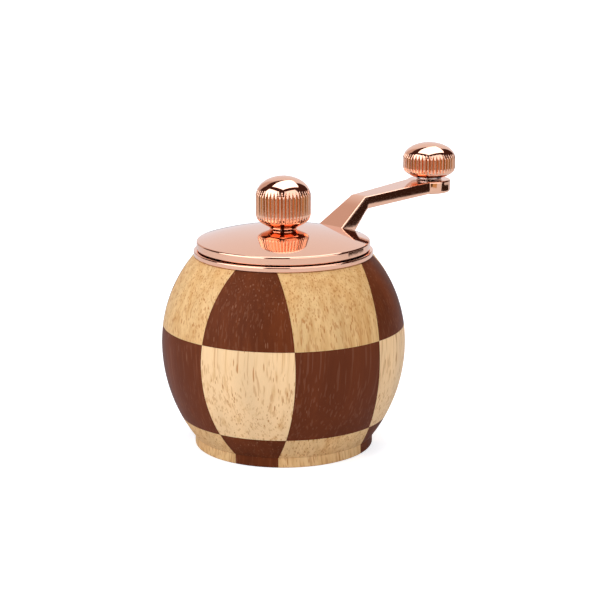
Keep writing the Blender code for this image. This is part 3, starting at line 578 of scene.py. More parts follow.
def combined(bm, operation, others):
    """Joins other closed shapes to a shape, or takes them out of it."""
    blanks = [in_scene("blank", shape) for shape in (bm, *others)]
    for other in blanks[1:]:
        modifier = blanks[0].modifiers.new("tool", "BOOLEAN")
        modifier.operation = operation
        modifier.solver = "EXACT"
        modifier.object = other
    bpy.context.view_layer.update()
    evaluated = blanks[0].evaluated_get(bpy.context.evaluated_depsgraph_get())
    made = bmesh.new()
    made.from_mesh(evaluated.to_mesh())
    evaluated.to_mesh_clear()
    for blank in blanks:
        bpy.data.meshes.remove(blank.data)
    return made


def bar(width, depth, bottom, top, turn=0.0):
    """An upright bar on the axis."""
    bm = bmesh.new()
    bmesh.ops.create_cube(bm, size=1.0)
    bmesh.ops.scale(bm, vec=(width, depth, top - bottom), verts=bm.verts)
    bmesh.ops.rotate(bm, cent=(0, 0, 0), matrix=Matrix.Rotation(turn, 3, "Z"), verts=bm.verts)
    bmesh.ops.translate(bm, vec=(0.0, 0.0, (top + bottom) / 2), verts=bm.verts)
    return bm


def spread(vert, factor):
    """Moves a vertex level, out from the axis or in towards it."""
    vert.co.x *= factor
    vert.co.y *= factor


def square_bore(bm, half):
    """Makes a turned shape's innermost round bore square."""
    for vert in bm.verts:
        if math.hypot(vert.co.x, vert.co.y) < half + 1e-6:
            spread(vert, half / max(abs(vert.co.x), abs(vert.co.y)))


def cut_away(bm, point, normal):
    """Cuts off what lies beyond a plane and closes the cut."""
    cut = bmesh.ops.bisect_plane(bm, geom=bm.verts[:] + bm.edges[:] + bm.faces[:], dist=1e-7,
                                 plane_co=point, plane_no=normal, clear_outer=True)
    rims = [item for item in cut["geom_cut"] if isinstance(item, bmesh.types.BMEdge)]
    bmesh.ops.holes_fill(bm, edges=rims, sides=0)


def shade(bm, crease):
    """Smooth faces, with the edges sharper than the crease left hard."""
    bm.normal_update()
    for face in bm.faces:
        face.smooth = True
    for edge in bm.edges:
        if len(edge.link_faces) == 2 and edge.calc_face_angle() > math.radians(crease):
            edge.smooth = False


def place(name, bm, slot, body, stands_for, x=0.0, crease=30.0, weighted=False):
    """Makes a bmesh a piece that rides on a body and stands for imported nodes."""
    bmesh.ops.translate(bm, verts=bm.verts, vec=(x, 0.0, 0.0))
    shade(bm, crease)
    obj = in_scene(name, bm, finish_for(slot))
    if weighted:
        modifier = obj.modifiers.new("even shading", "WEIGHTED_NORMAL")
        modifier.keep_sharp = True
    if body:
        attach(obj, body)
    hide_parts(*stands_for)
    return obj


def wood_outline(woods, bore_r, step_r, step_z):
    """The lathe's outline of the wood, from the collar down the outside and up the bore."""
    foot_neck, foot_edge = 0.2 * MM, 0.5 * MM
    upper_rows, lower_rows = 30, 34
    top_drop = woods.ball_radius - woods.top_radius
    top_rise = WOOD_TOP_Z - woods.widest_height
    upper_r = (top_drop ** 2 + top_rise ** 2) / (2 * top_drop)
    neck_r = woods.foot_radius + foot_neck
    drop = woods.ball_radius - neck_r
    fall = woods.widest_height - woods.foot_height
    lower_r = (drop ** 2 + fall ** 2) / (2 * drop)
    upper = arc((woods.ball_radius - upper_r, woods.widest_height), upper_r,
                math.asin(top_rise / upper_r), 0.0, upper_rows)
    lower = arc((woods.ball_radius - lower_r, woods.widest_height), lower_r,
                0.0, -math.asin(fall / lower_r), lower_rows)
    foot = [(woods.foot_radius, woods.foot_height - foot_neck),
            (woods.foot_radius, 0.0, foot_edge),
            (step_r, 0.0, SOFT_EDGE), (step_r, step_z), (bore_r, step_z), (bore_r, WOOD_TOP_Z)]
    return upper + lower[1:] + foot


def grain(mesh, seed, tone):
    """Gives a block its own place in the board that it was sawn from, in millimetres, and its tone."""
    most_lean, board_half, tone_spread = 7, 400, 0.3  # degrees, millimetres, share of the tone
    chance = random.Random(seed)
    lean = Matrix.Rotation(math.radians(chance.uniform(-most_lean, most_lean)), 3, "X") @ (
        Matrix.Rotation(math.radians(chance.uniform(-most_lean, most_lean)), 3, "Y"))
    board = lean @ Matrix.Rotation(chance.uniform(0, 2 * math.pi), 3, "Z")
    shift = Vector([chance.uniform(-board_half, board_half) for _ in range(3)])
    places = []
    for vert in mesh.vertices:
        places.extend(board @ vert.co / MM + shift)
    mesh.attributes.new("grain_place", "FLOAT_VECTOR", "POINT").data.foreach_set("vector", places)
    tone += chance.uniform(-tone_spread, tone_spread)
    mesh.attributes.new("block_tone", "FLOAT", "POINT").data.foreach_set(
        "value", [tone] * len(mesh.vertices))


class MILL_OT_wood(bpy.types.Operator):
    """Turn the 24 glued wood blocks of the body"""

    bl_idname = "pepper_mill.wood"
    bl_label = "Wood blocks"

    def execute(self, context):
        woods = context.scene.pepper_mill_wood
        seam, bore_beyond_corner, foot_rim = 0.02 * MM, 0.6 * MM, 2.4 * MM
        bore_r = woods.cube * math.sqrt(0.5) + bore_beyond_corner
        step_r, step_z = woods.foot_radius - foot_rim, FLANGE_TOP_Z + SEAT_GAP
        whole = turned(wood_outline(woods, bore_r, step_r, step_z), BODY_STEPS)
        inner = woods.cube / 2 + seam
        side = woods.cube / 2 - seam
        layers = (("foot", None, FOOT_SEAM_Z - seam, "light_wood", "dark_wood", 0.0),
                  ("middle", FOOT_SEAM_Z + seam, EQUATOR_Z - seam, "dark_wood", "light_wood", 1.1),
                  ("upper", EQUATOR_Z + seam, None, "light_wood", "dark_wood", -0.4))
        for layer, bottom, top, face_wood, corner_wood, tone in layers:
            for i in range(4):
                turn = Matrix.Rotation(woods.row_angle + i * math.pi / 2, 3, "Z")
                out, along = turn @ Vector((1, 0, 0)), turn @ Vector((0, 1, 0))
                kinds = (("face", face_wood, ((along * side, along), (-along * side, -along),
                                              (out * inner, -out))),
                         ("corner", corner_wood, ((along * inner, -along), (out * inner, -out))))
                for kind, slot, planes in kinds:
                    bm = whole.copy()
                    for point, normal in planes:
                        cut_away(bm, point, normal)
                    if bottom:
                        cut_away(bm, (0, 0, bottom), (0, 0, -1))
                    if top:
                        cut_away(bm, (0, 0, top), (0, 0, 1))
                    node = f"{layer}_{kind}_block_{i + 1}"
                    piece = place(f"turned_{layer}_{kind}_{i + 1}", bm, slot, "mill_body", [node],
                                  MILL_X, crease=40.0)
                    grain(piece.data, node, tone)
        whole.free()
        return {"FINISHED"}


def beside_axis(node):
    """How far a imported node's middle lies from the mill's axis."""
    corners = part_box(node)
    return (centre_x(node) - MILL_X, (corners[0].y + corners[1].y) / 2, 0.0)


def screw_hole(node, head_z, way):
    """The countersunk hole for a screw whose head lies at a height and whose end points up or down."""
    radius = bpy.context.scene.pepper_mill_grinder.screw_radius
    wide, narrow = SCREW_HEAD * radius + HOLE_GAP, radius + HOLE_GAP
    beyond = 5.0 * MM
    bm = turned([(0.0, head_z - way * beyond), (wide, head_z - way * beyond), (wide, head_z),
                 (narrow, head_z + way * SCREW_HEAD_H), (narrow, head_z + way * beyond),
                 (0.0, head_z + way * beyond)], SCREW_STEPS)
    bmesh.ops.translate(bm, vec=beside_axis(node), verts=bm.verts)
    return bm


def cross_recess(head_z, way, reach):
    """Two crossed bars that cut a screwdriver's recess into a head."""
    over, depth, turn = 0.2 * MM, 0.45 * MM, 0.4
    ends = sorted((head_z - way * over, head_z + way * depth))
    return [bar(reach, 0.22 * reach, *ends, turn + quarter) for quarter in (0.0, math.pi / 2)]


def wood_screw(node, head_z, way):
    """A countersunk screw with a cross recess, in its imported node's place."""
    radius = bpy.context.scene.pepper_mill_grinder.screw_radius
    end_z = low(node) if way < 0 else high(node)
    head_edge, tip_r = 0.08 * MM, 0.2 * radius
    outline = [(0.0, head_z), (SCREW_HEAD * radius, head_z, head_edge),
               (radius, head_z + way * SCREW_HEAD_H), (radius, end_z - way * radius),
               (tip_r, end_z), (0.0, end_z)]
    bm = combined(turned(outline, SCREW_STEPS), "DIFFERENCE", cross_recess(head_z, way, 2.2 * radius))
    bmesh.ops.translate(bm, vec=beside_axis(node), verts=bm.verts)
    place("turned_" + node, bm, "steel", "mill_body", [node], MILL_X)


class MILL_OT_collar(bpy.types.Operator):
    """Turn the collar ring that sits on the wood"""

    bl_idname = "pepper_mill.collar"
    bl_label = "Collar"

    def execute(self, context):
        woods = context.scene.pepper_mill_wood
        sleeve_wall, upper_edge, lower_edge, sleeve_edge = 1.0 * MM, 0.45 * MM, 0.35 * MM, 0.15 * MM
        flange_low, sleeve_low = WOOD_TOP_Z + SEAT_GAP / 3, low("collar_ring")
        sleeve_r = woods.cube * math.sqrt(0.5) + SEAT_GAP
        outer_r = half_width("collar_ring")
        bore_r = sleeve_r - sleeve_wall
        outline = [(bore_r, COLLAR_TOP_Z, SOFT_EDGE), (outer_r, COLLAR_TOP_Z, upper_edge),
                   (outer_r, flange_low, lower_edge), (sleeve_r, flange_low),
                   (sleeve_r, sleeve_low, sleeve_edge), (bore_r, sleeve_low, sleeve_edge)]
        ring = combined(turned(outline, BODY_STEPS), "DIFFERENCE", [
            screw_hole(f"collar_screw_{i}", COLLAR_TOP_Z, -1) for i in range(1, 5)])
        place("polished_collar", ring, "rose_gold", "mill_body", ["collar_ring"],
              MILL_X, weighted=True)
        return {"FINISHED"}


def piecewise(points, x):
    """Height on a line of (x, height) points."""
    for (x0, z0), (x1, z1) in zip(points, points[1:]):
        if x <= x1:
            return z0 + (z1 - z0) * (x - x0) / (x1 - x0)
    return points[-1][1]


def arm_mesh(lid):
    """The crank arm from its root inside the dome to the round pad at its end."""
    root_over_rim, root_under_rim, under_bend_shift = 0.7 * MM, 1.3 * MM, 1.5 * MM
    reach = KNOB_X - MILL_X
    rim_top = APEX_Z - lid.dome_rise
    meet = math.asin(lid.end_half / lid.pad_radius)
    meet_x = reach - lid.pad_radius * math.cos(meet)
    thickness = PAD_TOP_Z - PAD_LOW_Z
    bend_z = rim_top + lid.bend_rise
    under_x = lid.bend_reach + under_bend_shift
    under_z = bend_z + (PAD_TOP_Z - bend_z) * under_bend_shift / (meet_x - lid.bend_reach) - thickness
    over_rim = (lid.radius + lid.rim_edge, rim_top - lid.rim_edge)
    above = [(lid.root_reach, rim_top + root_over_rim), (lid.bend_reach, bend_z),
             (meet_x, PAD_TOP_Z), (2 * reach, PAD_TOP_Z)]
    below = [(lid.root_reach, rim_top - root_under_rim), over_rim, (under_x, under_z),
             (meet_x, PAD_LOW_Z), (2 * reach, PAD_LOW_Z)]
    bm = bmesh.new()
    first = bm.verts.new((meet_x, -lid.end_half, 0.0))
    swung = bmesh.ops.spin(bm, geom=[first], cent=(reach, 0.0, 0.0), axis=(0.0, 0.0, 1.0),
                           dvec=(0.0, 0.0, 0.0), angle=2 * (math.pi - meet), steps=60)
    last = next(item for item in swung["geom_last"] if isinstance(item, bmesh.types.BMVert))
    if abs(last.co.y - lid.end_half) > 1e-6:
        raise RuntimeError("the pad's outline did not close on the arm")
    corners = [(lid.bend_reach, -lid.bend_half), (lid.root_reach, -lid.root_half),
               (lid.root_reach, lid.root_half), (lid.bend_reach, lid.bend_half)]
    chain = [first] + [bm.verts.new((x, y, 0.0)) for x, y in corners] + [last]
    for a, b in zip(chain, chain[1:]):
        bm.edges.new((a, b))
    bmesh.ops.contextual_create(bm, geom=bm.edges[:])
    for x in (over_rim[0], lid.bend_reach, under_x, meet_x):
        bmesh.ops.bisect_plane(bm, geom=bm.verts[:] + bm.edges[:] + bm.faces[:], dist=1e-7,
                               plane_co=(x, 0.0, 0.0), plane_no=(1.0, 0.0, 0.0))
    grown = bmesh.ops.extrude_face_region(bm, geom=bm.faces[:])["geom"]
    upper = {item for item in grown if isinstance(item, bmesh.types.BMVert)}
    for vert in bm.verts:
        vert.co.z = piecewise(above if vert in upper else below, vert.co.x)
    bmesh.ops.recalc_face_normals(bm, faces=bm.faces)
    bm.normal_update()
    rims = {1: [], -1: []}
    for edge in bm.edges:
        past_root = edge.verts[0].co.x + edge.verts[1].co.x > 2 * lid.root_reach + 1e-5
        side, flat = sorted(edge.link_faces, key=lambda face: abs(face.normal.z))
        if past_root and abs(side.normal.z) < 0.1 and abs(flat.normal.z) > 0.4:
            rims[1 if flat.normal.z > 0 else -1].append(edge)
    for edges, width in ((rims[1], lid.upper_edge), (rims[-1], lid.lower_edge)):
        bmesh.ops.bevel(bm, geom=edges, offset=width, offset_type="OFFSET", segments=3,
                        profile=0.5, affect="EDGES", material=-1, clamp_overlap=True)
    return bm


class MILL_OT_lid(bpy.types.Operator):
    """Cast the domed lid and its crank arm"""

    bl_idname = "pepper_mill.lid"
    bl_label = "Lid and crank arm"

    def execute(self, context):
        lid = context.scene.pepper_mill_lid
        seat_r, spigot_r, dome_rows = 4.9 * MM, 18.88 * MM, 28
        recess, spigot_depth, spigot_wall = 1.9 * MM, 3.5 * MM, 1.2 * MM
        hub_wall, hub_drop = 2.96 * MM, 1.0 * MM
        rim_edge, recess_edge = 0.55 * MM, 0.4 * MM
        width = lid.radius - lid.rim_edge - seat_r
        dome = []
        for i in range(dome_rows):
            share = i / dome_rows
            dome.append((seat_r + share * width, APEX_Z - lid.dome_rise * share ** 2))
        fall = 2 * lid.dome_rise / width * lid.rim_edge
        rim_z = APEX_Z - lid.dome_rise - fall
        ceiling, spigot_low = LID_LOW_Z + recess, LID_LOW_Z - spigot_depth
        hub_r, hub_low = half_width("drive_shaft") + hub_wall, LID_LOW_Z - hub_drop
        hole_r = half_width("drive_shaft") + RUNNING_GAP
        outline = [(hole_r, APEX_Z)] + dome + [
            (lid.radius, rim_z, rim_edge), (lid.radius, LID_LOW_Z, ROUND_EDGE),
            (spigot_r, LID_LOW_Z), (spigot_r, spigot_low, ROUND_EDGE),
            (spigot_r - spigot_wall, spigot_low, ROUND_EDGE),
            (spigot_r - spigot_wall, ceiling, recess_edge),
            (hub_r, ceiling, recess_edge), (hub_r, hub_low, ROUND_EDGE), (hole_r, hub_low)]
        bm = turned(outline, BODY_STEPS)
        square_bore(bm, hole_r)
        place("polished_lid", bm, "rose_gold", "lid", ["lid_and_crank"], MILL_X, weighted=True)
        pin_hole_r, head_sink, beyond = 1.8 * MM, 1.2 * MM, 5.0 * MM
        head_r, head_top = half_width("crank_knob_pin") + RUNNING_GAP, PAD_LOW_Z + head_sink
        over, under = PAD_TOP_Z + beyond, PAD_LOW_Z - beyond
        hole = turned([(0.0, over), (pin_hole_r, over), (pin_hole_r, head_top), (head_r, head_top),
                       (head_r, under), (0.0, under)], SMALL_STEPS)
        bmesh.ops.translate(hole, vec=(KNOB_X - MILL_X, 0.0, 0.0), verts=hole.verts)
        arm = combined(arm_mesh(lid), "DIFFERENCE", [hole])
        place("polished_arm", arm, "rose_gold", "lid", ["lid_and_crank"], MILL_X, crease=40.0,
              weighted=True)
        return {"FINISHED"}


def ribbed(outline, knobs, radius):
    """A turned knob whose widest band is cut into upright ribs."""
    steps_per_rib = 8
    bm = turned(outline, knobs.ribs * steps_per_rib)
    for vert in bm.verts:
        distance = math.hypot(vert.co.x, vert.co.y)
        wave = abs(math.cos(math.atan2(vert.co.y, vert.co.x) * knobs.ribs / 2))
        limit = radius - knobs.rib_depth * (1 - wave)
        if distance > limit:
            spread(vert, limit / distance)
    return bm


def steps_between(a, b, count):
    """Points evenly along a straight line, without its first."""
    return [(a[0] + (b[0] - a[0]) * i / count, a[1] + (b[1] - a[1]) * i / count)
            for i in range(1, count + 1)]


def knob_outline(bottom, foot_r, neck_h, taper_h, rib_h, dome_h, radius, bore_r, bore_top):
    """A knob's outline from the top of its dome down the outside and up its bore."""
    shoulder, sink, inset, foot_edge = 0.25 * MM, 0.7 * MM, 0.15 * MM, 0.15 * MM
    dome_rows, shoulder_rows, band_rows, taper_rows = 28, 2, 10, 12
    start_r = radius - inset
    taper_z = bottom + neck_h
    rib_z = taper_z + taper_h
    dome_z = rib_z + rib_h
    oval_h = dome_h + sink
    start = math.asin(sink / oval_h)
    oval_r = start_r / math.cos(start)
    dome = [(0.0, dome_z + dome_h)]
    for i in range(1, dome_rows + 1):
        turn = math.pi / 2 + (start - math.pi / 2) * i / dome_rows
        dome.append((oval_r * math.cos(turn), dome_z - sink + oval_h * math.sin(turn)))
    upper = steps_between(dome[-1], (radius, dome_z - shoulder), shoulder_rows)
    band = steps_between(upper[-1], (radius, rib_z + shoulder), band_rows)
    taper = []
    for i in range(taper_rows + 1):
        fall = i / taper_rows
        taper.append((start_r - (start_r - foot_r) * fall ** 2, rib_z - taper_h * fall))
    foot = [(foot_r, bottom, foot_edge)] if neck_h else []
    return dome + upper + band + taper + foot + [
        (bore_r, bottom), (bore_r, bore_top), (0.0, bore_top)]


class MILL_OT_knobs(bpy.types.Operator):
    """Turn and rib the top knob and the crank knob, with the crank knob's pin and washer"""

    bl_idname = "pepper_mill.knobs"
    bl_label = "Knobs"

    def execute(self, context):
        knobs = context.scene.pepper_mill_knobs
        thread_spare, pin_bore_r, crease = 1.3 * MM, 1.9 * MM, 35.0
        top = knob_outline(
            bottom=TOP_KNOB_LOW_Z, foot_r=4.3 * MM, neck_h=0.3 * MM, taper_h=3.3 * MM,
            rib_h=7.1 * MM, dome_h=5.2 * MM, radius=knobs.top_radius,
            bore_r=2.7 * MM, bore_top=high("drive_shaft") + thread_spare)
        place("adjusting_knob", ribbed(top, knobs, knobs.top_radius), "rose_gold", "adjuster",
              ["top_knob"], MILL_X, crease)
        crank = knob_outline(
            bottom=low("crank_knob"), foot_r=6.0 * MM, neck_h=0.0, taper_h=2.3 * MM,
            rib_h=4.2 * MM, dome_h=4.3 * MM, radius=knobs.crank_radius,
            bore_r=pin_bore_r, bore_top=high("crank_knob_pin") + SEAT_GAP)
        place("grip_knob", ribbed(crank, knobs, knobs.crank_radius), "rose_gold", "crank_grip",
              ["crank_knob"], KNOB_X, crease)

        pin_r, head_h, head_edge = 1.6 * MM, 1.0 * MM, 0.35 * MM
        head_r, bottom, top = span("crank_knob_pin")
        pin = [(0.0, top), (pin_r, top, ROUND_EDGE), (pin_r, bottom + head_h),
               (head_r, bottom + head_h, FINE_EDGE), (head_r, bottom, head_edge), (0.0, bottom)]
        place("grip_pin", turned(pin, SMALL_STEPS), "steel", "lid", ["crank_knob_pin"], KNOB_X)

        edge = 0.15 * MM
        washer_r, bottom, top = span("crank_knob_washer")
        washer = [(pin_bore_r, top, FINE_EDGE), (washer_r, top, edge),
                  (washer_r, bottom, edge), (pin_bore_r, bottom, FINE_EDGE)]
        place("grip_washer", turned(washer, SMALL_STEPS), "steel", "lid", ["crank_knob_washer"],
              KNOB_X)
        return {"FINISHED"}


def toothed(bm, teeth, depth, twist, is_cut):
    """Cuts slanted teeth into the part of a turned shape that is_cut picks by radius and height."""
    gentle = 0.7
    for vert in bm.verts:
        r, z = math.hypot(vert.co.x, vert.co.y), vert.co.z
        if is_cut(r, z):
            turn = math.atan2(vert.co.y, vert.co.x) / (2 * math.pi) * teeth + twist * z
            share = turn - math.floor(turn)
            cut = depth * min(share / gentle, (1 - share) / (1 - gentle))
            spread(vert, (r - cut) / r)


def burrs(grinder):
    """The turning inner burr and the fixed outer burr; fine teeth in the band, large ones above it."""
    steps = 10 * grinder.teeth
    band_rows, cone_rows, crease, just_inside = 4, 10, 25.0, 1e-6
    lower_chamfer, grind_gap, twist = 1.4 * MM, 0.7 * MM, -160.0
    shaft_half = grinder.shaft_side / 2 + HOLE_GAP
    inner_r, bottom, top = span("inner_burr")
    band_top = bottom + grinder.band_height
    neck_r = inner_r - grinder.band_slope * grinder.band_height
    cone = steps_between((neck_r, band_top), (grinder.inner_top_radius, top), cone_rows)
    band = steps_between((inner_r, bottom), (neck_r, band_top), band_rows)
    bm = turned([(shaft_half, bottom), (inner_r - lower_chamfer, bottom), (inner_r, bottom)]
                + band + cone + [(shaft_half, top)], steps)
    in_band = band_top + just_inside
    toothed(bm, 2 * grinder.teeth, 0.5 * grinder.tooth_depth, 0.0,
            lambda r, z: z < in_band and r > neck_r - just_inside)
    toothed(bm, grinder.teeth, 1.3 * grinder.tooth_depth, twist,
            lambda r, z: z > in_band and r > grinder.inner_top_radius - just_inside)
    square_bore(bm, shaft_half)
    place("turning_burr", bm, "ceramic", "spindle", ["inner_burr"], MILL_X, crease)

    ring_r, bottom, top = span("outer_burr")
    groove_r = inner_r + grind_gap + grinder.tooth_depth
    waist_r = groove_r - grinder.band_slope * grinder.band_height
    bore = (steps_between((groove_r, bottom), (waist_r, band_top), band_rows)
            + steps_between((waist_r, band_top), (groove_r, top), cone_rows))
    bm = turned([(ring_r, top), (ring_r, bottom, ROUND_EDGE), (groove_r, bottom)] + bore, steps)
    in_groove = groove_r + just_inside
    toothed(bm, 2 * grinder.teeth, 0.6 * grinder.tooth_depth, 0.0,
            lambda r, z: r < in_groove and z < in_band)
    toothed(bm, grinder.teeth, grinder.tooth_depth, 0.0,
            lambda r, z: r < in_groove and z > in_band)
    place("fixed_burr", bm, "ceramic", "mill_body", ["outer_burr"], MILL_X, crease)


def housing():
    """The flanged cup in the foot, its bridge and hub, and the ring that retains the outer burr."""
    cup_wall, ledge_in, ledge_h, funnel_h = 3.6 * MM, 2.2 * MM, 1.4 * MM, 3.6 * MM
    lip, lip_out, lip_rise = 0.5 * MM, 0.4 * MM, 0.4 * MM
    rim_edge, flange_edge = 0.4 * MM, 0.5 * MM
    bush_flange, bush_wall, hub_wall = 1.2 * MM, 1.0 * MM, 2.5 * MM
    bridge_end, bridge_width, bridge_shy, beyond = 1.0 * MM, 6.0 * MM, 0.4 * MM, 1.0 * MM
    flange_r, flange_low, rim_z = span("mill_housing")
    burr_r = half_width("outer_burr")
    bore_r, cup_r = burr_r + RUNNING_GAP, burr_r + cup_wall
    ledge_r, ledge_z, lip_z = bore_r - ledge_in, high("outer_burr") + RUNNING_GAP, flange_low + lip_rise
    hub_low = low("bearing_bush") + bush_flange + SEAT_GAP
    hub_top = high("bearing_bush") - SEAT_GAP
    hub_bore = half_width("bearing_bush") - bush_wall
    hub_r = hub_bore + hub_wall
    cup = turned([
        (bore_r, rim_z, rim_edge), (cup_r, rim_z, ROUND_EDGE), (cup_r, FLANGE_TOP_Z),
        (flange_r, FLANGE_TOP_Z, ROUND_EDGE), (flange_r, flange_low, flange_edge),
        (bore_r + lip + lip_out, flange_low, SOFT_EDGE), (bore_r + lip, lip_z, SOFT_EDGE),
        (bore_r, lip_z, FINE_EDGE), (bore_r, ledge_z), (ledge_r, ledge_z),
        (ledge_r, ledge_z + ledge_h), (bore_r, ledge_z + funnel_h)], CUP_STEPS)
    bridge = bar(2 * (bore_r + bridge_end), bridge_width, hub_low + bridge_shy, hub_top - bridge_shy)
    hub = turned([(0.0, hub_top), (hub_r, hub_top, ROUND_EDGE), (hub_r, hub_low, ROUND_EDGE),
                  (0.0, hub_low)], HUB_STEPS)
    over, under = hub_top + beyond, hub_low - beyond
    bore = turned([(0.0, over), (hub_bore, over), (hub_bore, under), (0.0, under)], HUB_STEPS)
    holes = [screw_hole(f"housing_screw_{i}", flange_low, 1) for i in range(1, 5)]
    bm = combined(combined(cup, "UNION", [bridge, hub]), "DIFFERENCE", [bore, *holes])
    place("moulded_housing", bm, "white_plastic", "mill_body", ["mill_housing"], MILL_X)

    ring_wall, lip, slope, funnel, funnel_h = 3.0 * MM, 1.0 * MM, 0.3 * MM, 0.8 * MM, 0.8 * MM
    bottom, top = low("burr_retaining_ring"), high("burr_retaining_ring")
    ring = turned([
        (burr_r - ring_wall, top), (burr_r, top), (burr_r, bottom, ROUND_EDGE),
        (burr_r - lip, bottom, SOFT_EDGE), (burr_r - lip - slope, bottom + slope, SOFT_EDGE),
        (burr_r - ring_wall + funnel, bottom + slope, ROUND_EDGE),
        (burr_r - ring_wall, bottom + slope + funnel_h, ROUND_EDGE)], CUP_STEPS)
    place("moulded_retainer", ring, "white_plastic", "mill_body", ["burr_retaining_ring"], MILL_X)


def shaft(grinder):
    """The square shaft with a cut thread on its upper end."""
    rows_per_turn, steps, overlap = 6, 40, 1.0 * MM
    chamfer, plain_end, thread_slope = 0.05 * MM, 0.3 * MM, 1.25
    corner, tapped_r = 0.25 * MM, 1.35 * MM
    bottom, top = low("drive_shaft"), high("drive_shaft")
    shoulder = APEX_Z - grinder.thread_lead
    core = grinder.thread_radius - 0.55 * grinder.thread_lead
    rod_low = shoulder - overlap
    rows = round((top - rod_low) / grinder.thread_lead * rows_per_turn)
    rod = turned([(0.0, top), (core, top)] + steps_between(
        (core, top - chamfer), (core, rod_low), rows) + [(0.0, rod_low)], steps)
    for vert in rod.verts:
        if math.hypot(vert.co.x, vert.co.y) > core / 2 and vert.co.z < top - plain_end:
            turn = vert.co.z / grinder.thread_lead - math.atan2(vert.co.y, vert.co.x) / (2 * math.pi)
            share = abs(2 * (turn - math.floor(turn)) - 1)
            spread(vert, 1 + (grinder.thread_radius / core - 1) * min(1.0, thread_slope * share))
    square = bar(grinder.shaft_side, grinder.shaft_side, bottom, shoulder)
    upright = [edge for edge in square.edges if edge.verts[0].co.xy == edge.verts[1].co.xy]
    bmesh.ops.bevel(square, geom=upright, offset=corner, offset_type="OFFSET", segments=2,
                    profile=0.5, affect="EDGES", material=-1)
    over, under = high("burr_screw") + RUNNING_GAP, bottom - overlap
    tapped = turned([(0.0, over), (tapped_r, over), (tapped_r, under), (0.0, under)], SCREW_STEPS)
    bm = combined(combined(square, "DIFFERENCE", [tapped]), "UNION", [rod])
    place("square_shaft", bm, "steel", "spindle", ["drive_shaft"], MILL_X)


def spring(grinder):
    """The wound spring, swept round the shaft between the bush and the inner burr."""
    outer_r, bottom, top = span("burr_spring")
    wire = grinder.wire_radius
    turns, steps_per_turn, wire_sides = 3.5, 36, 12
    steps = round(turns * steps_per_turn)
    rise = (top - bottom - 2 * wire) / steps
    bm = bmesh.new()
    bmesh.ops.create_circle(bm, radius=wire, segments=wire_sides)
    bmesh.ops.rotate(bm, cent=(0, 0, 0), matrix=Matrix.Rotation(math.pi / 2, 3, "X"), verts=bm.verts)
    bmesh.ops.translate(bm, vec=(outer_r - wire, 0.0, bottom + wire), verts=bm.verts)
    bmesh.ops.spin(bm, geom=bm.verts[:] + bm.edges[:], cent=(0, 0, 0), axis=(0, 0, 1),
                   dvec=(0, 0, rise), angle=2 * math.pi * turns, steps=steps)
    bmesh.ops.holes_fill(bm, edges=bm.edges, sides=0)
    bmesh.ops.recalc_face_normals(bm, faces=bm.faces)
    coil = place("wound_spring", bm, "steel", None, ["burr_spring"], MILL_X)
    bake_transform(coil)


class MILL_OT_grinder(bpy.types.Operator):
    """Make the grinding set, the shaft and the screws"""

    bl_idname = "pepper_mill.grinder"
    bl_label = "Grinding set"

    def execute(self, context):
        grinder = context.scene.pepper_mill_grinder
        housing()
        burrs(grinder)
        shaft(grinder)
        spring(grinder)
        half = grinder.shaft_side / 2 + HOLE_GAP
        flange = 1.2 * MM
        outer_r, bottom, top = span("bearing_bush")
        bush = turned([(half, top), (outer_r - flange, top, SOFT_EDGE),
                       (outer_r - flange, bottom + flange), (outer_r, bottom + flange, SOFT_EDGE),
                       (outer_r, bottom, SOFT_EDGE), (half, bottom)], HUB_STEPS)
        square_bore(bush, half)
        place("flanged_bush", bush, "white_plastic", "bush", ["bearing_bush"], MILL_X)
        outer_r, bottom, top = span("shaft_clip")
        clip = turned([(half, top), (outer_r, top, FINE_EDGE), (outer_r, bottom, FINE_EDGE),
                       (half, bottom)], SMALL_STEPS)
        square_bore(clip, half)
        place("pressed_clip", clip, "steel", "spindle", ["shaft_clip"], MILL_X)

        thread_r, head_h, head_edge = 1.2 * MM, 1.4 * MM, 0.6 * MM
        hole_r = thread_r + RUNNING_GAP
        outer_r, bottom, top = span("burr_washer")
        washer = turned([(hole_r, top), (outer_r, top, FINE_EDGE), (outer_r, bottom, SOFT_EDGE),
                         (hole_r, bottom)], SMALL_STEPS)
        place("burr_plate", washer, "steel", "spindle", ["burr_washer"], MILL_X)
        head_r, bottom, top = span("burr_screw")
        screw = turned([(0.0, top), (thread_r, top, ROUND_EDGE), (thread_r, bottom + head_h),
                        (head_r, bottom + head_h, FINE_EDGE), (head_r, bottom, head_edge),
                        (0.0, bottom)], SMALL_STEPS)
        screw = combined(screw, "DIFFERENCE", cross_recess(bottom, 1, 1.3 * head_r))
        place("burr_bolt", screw, "steel", "spindle", ["burr_screw"], MILL_X)
        for i in range(1, 5):
            wood_screw(f"collar_screw_{i}", COLLAR_TOP_Z, -1)
            wood_screw(f"housing_screw_{i}", low("mill_housing"), 1)
        return {"FINISHED"}


# The camera that was fitted to the photo; the lens and the sensor's width are in millimetres
CAMERA_PLACE = (-0.38566, -0.40888, 0.17691)
CAMERA_TILT = math.radians(76.4265)
CAMERA_LENS = 109.32
SENSOR_WIDTH = 36.0

# Directions in the studio are turned from the camera's line of sight, which runs over the mill
VIEW_TURN = math.radians(-42.625)
LIGHT_COLOUR = (0.93, 0.98, 1.07)


def studio_place(across, away, height):
    """A place in the studio: to the right of the line of sight, away from the camera, and up."""
    c, s = math.cos(VIEW_TURN), math.sin(VIEW_TURN)
    return Vector((MILL_X + across * c - away * s, across * s + away * c, height))


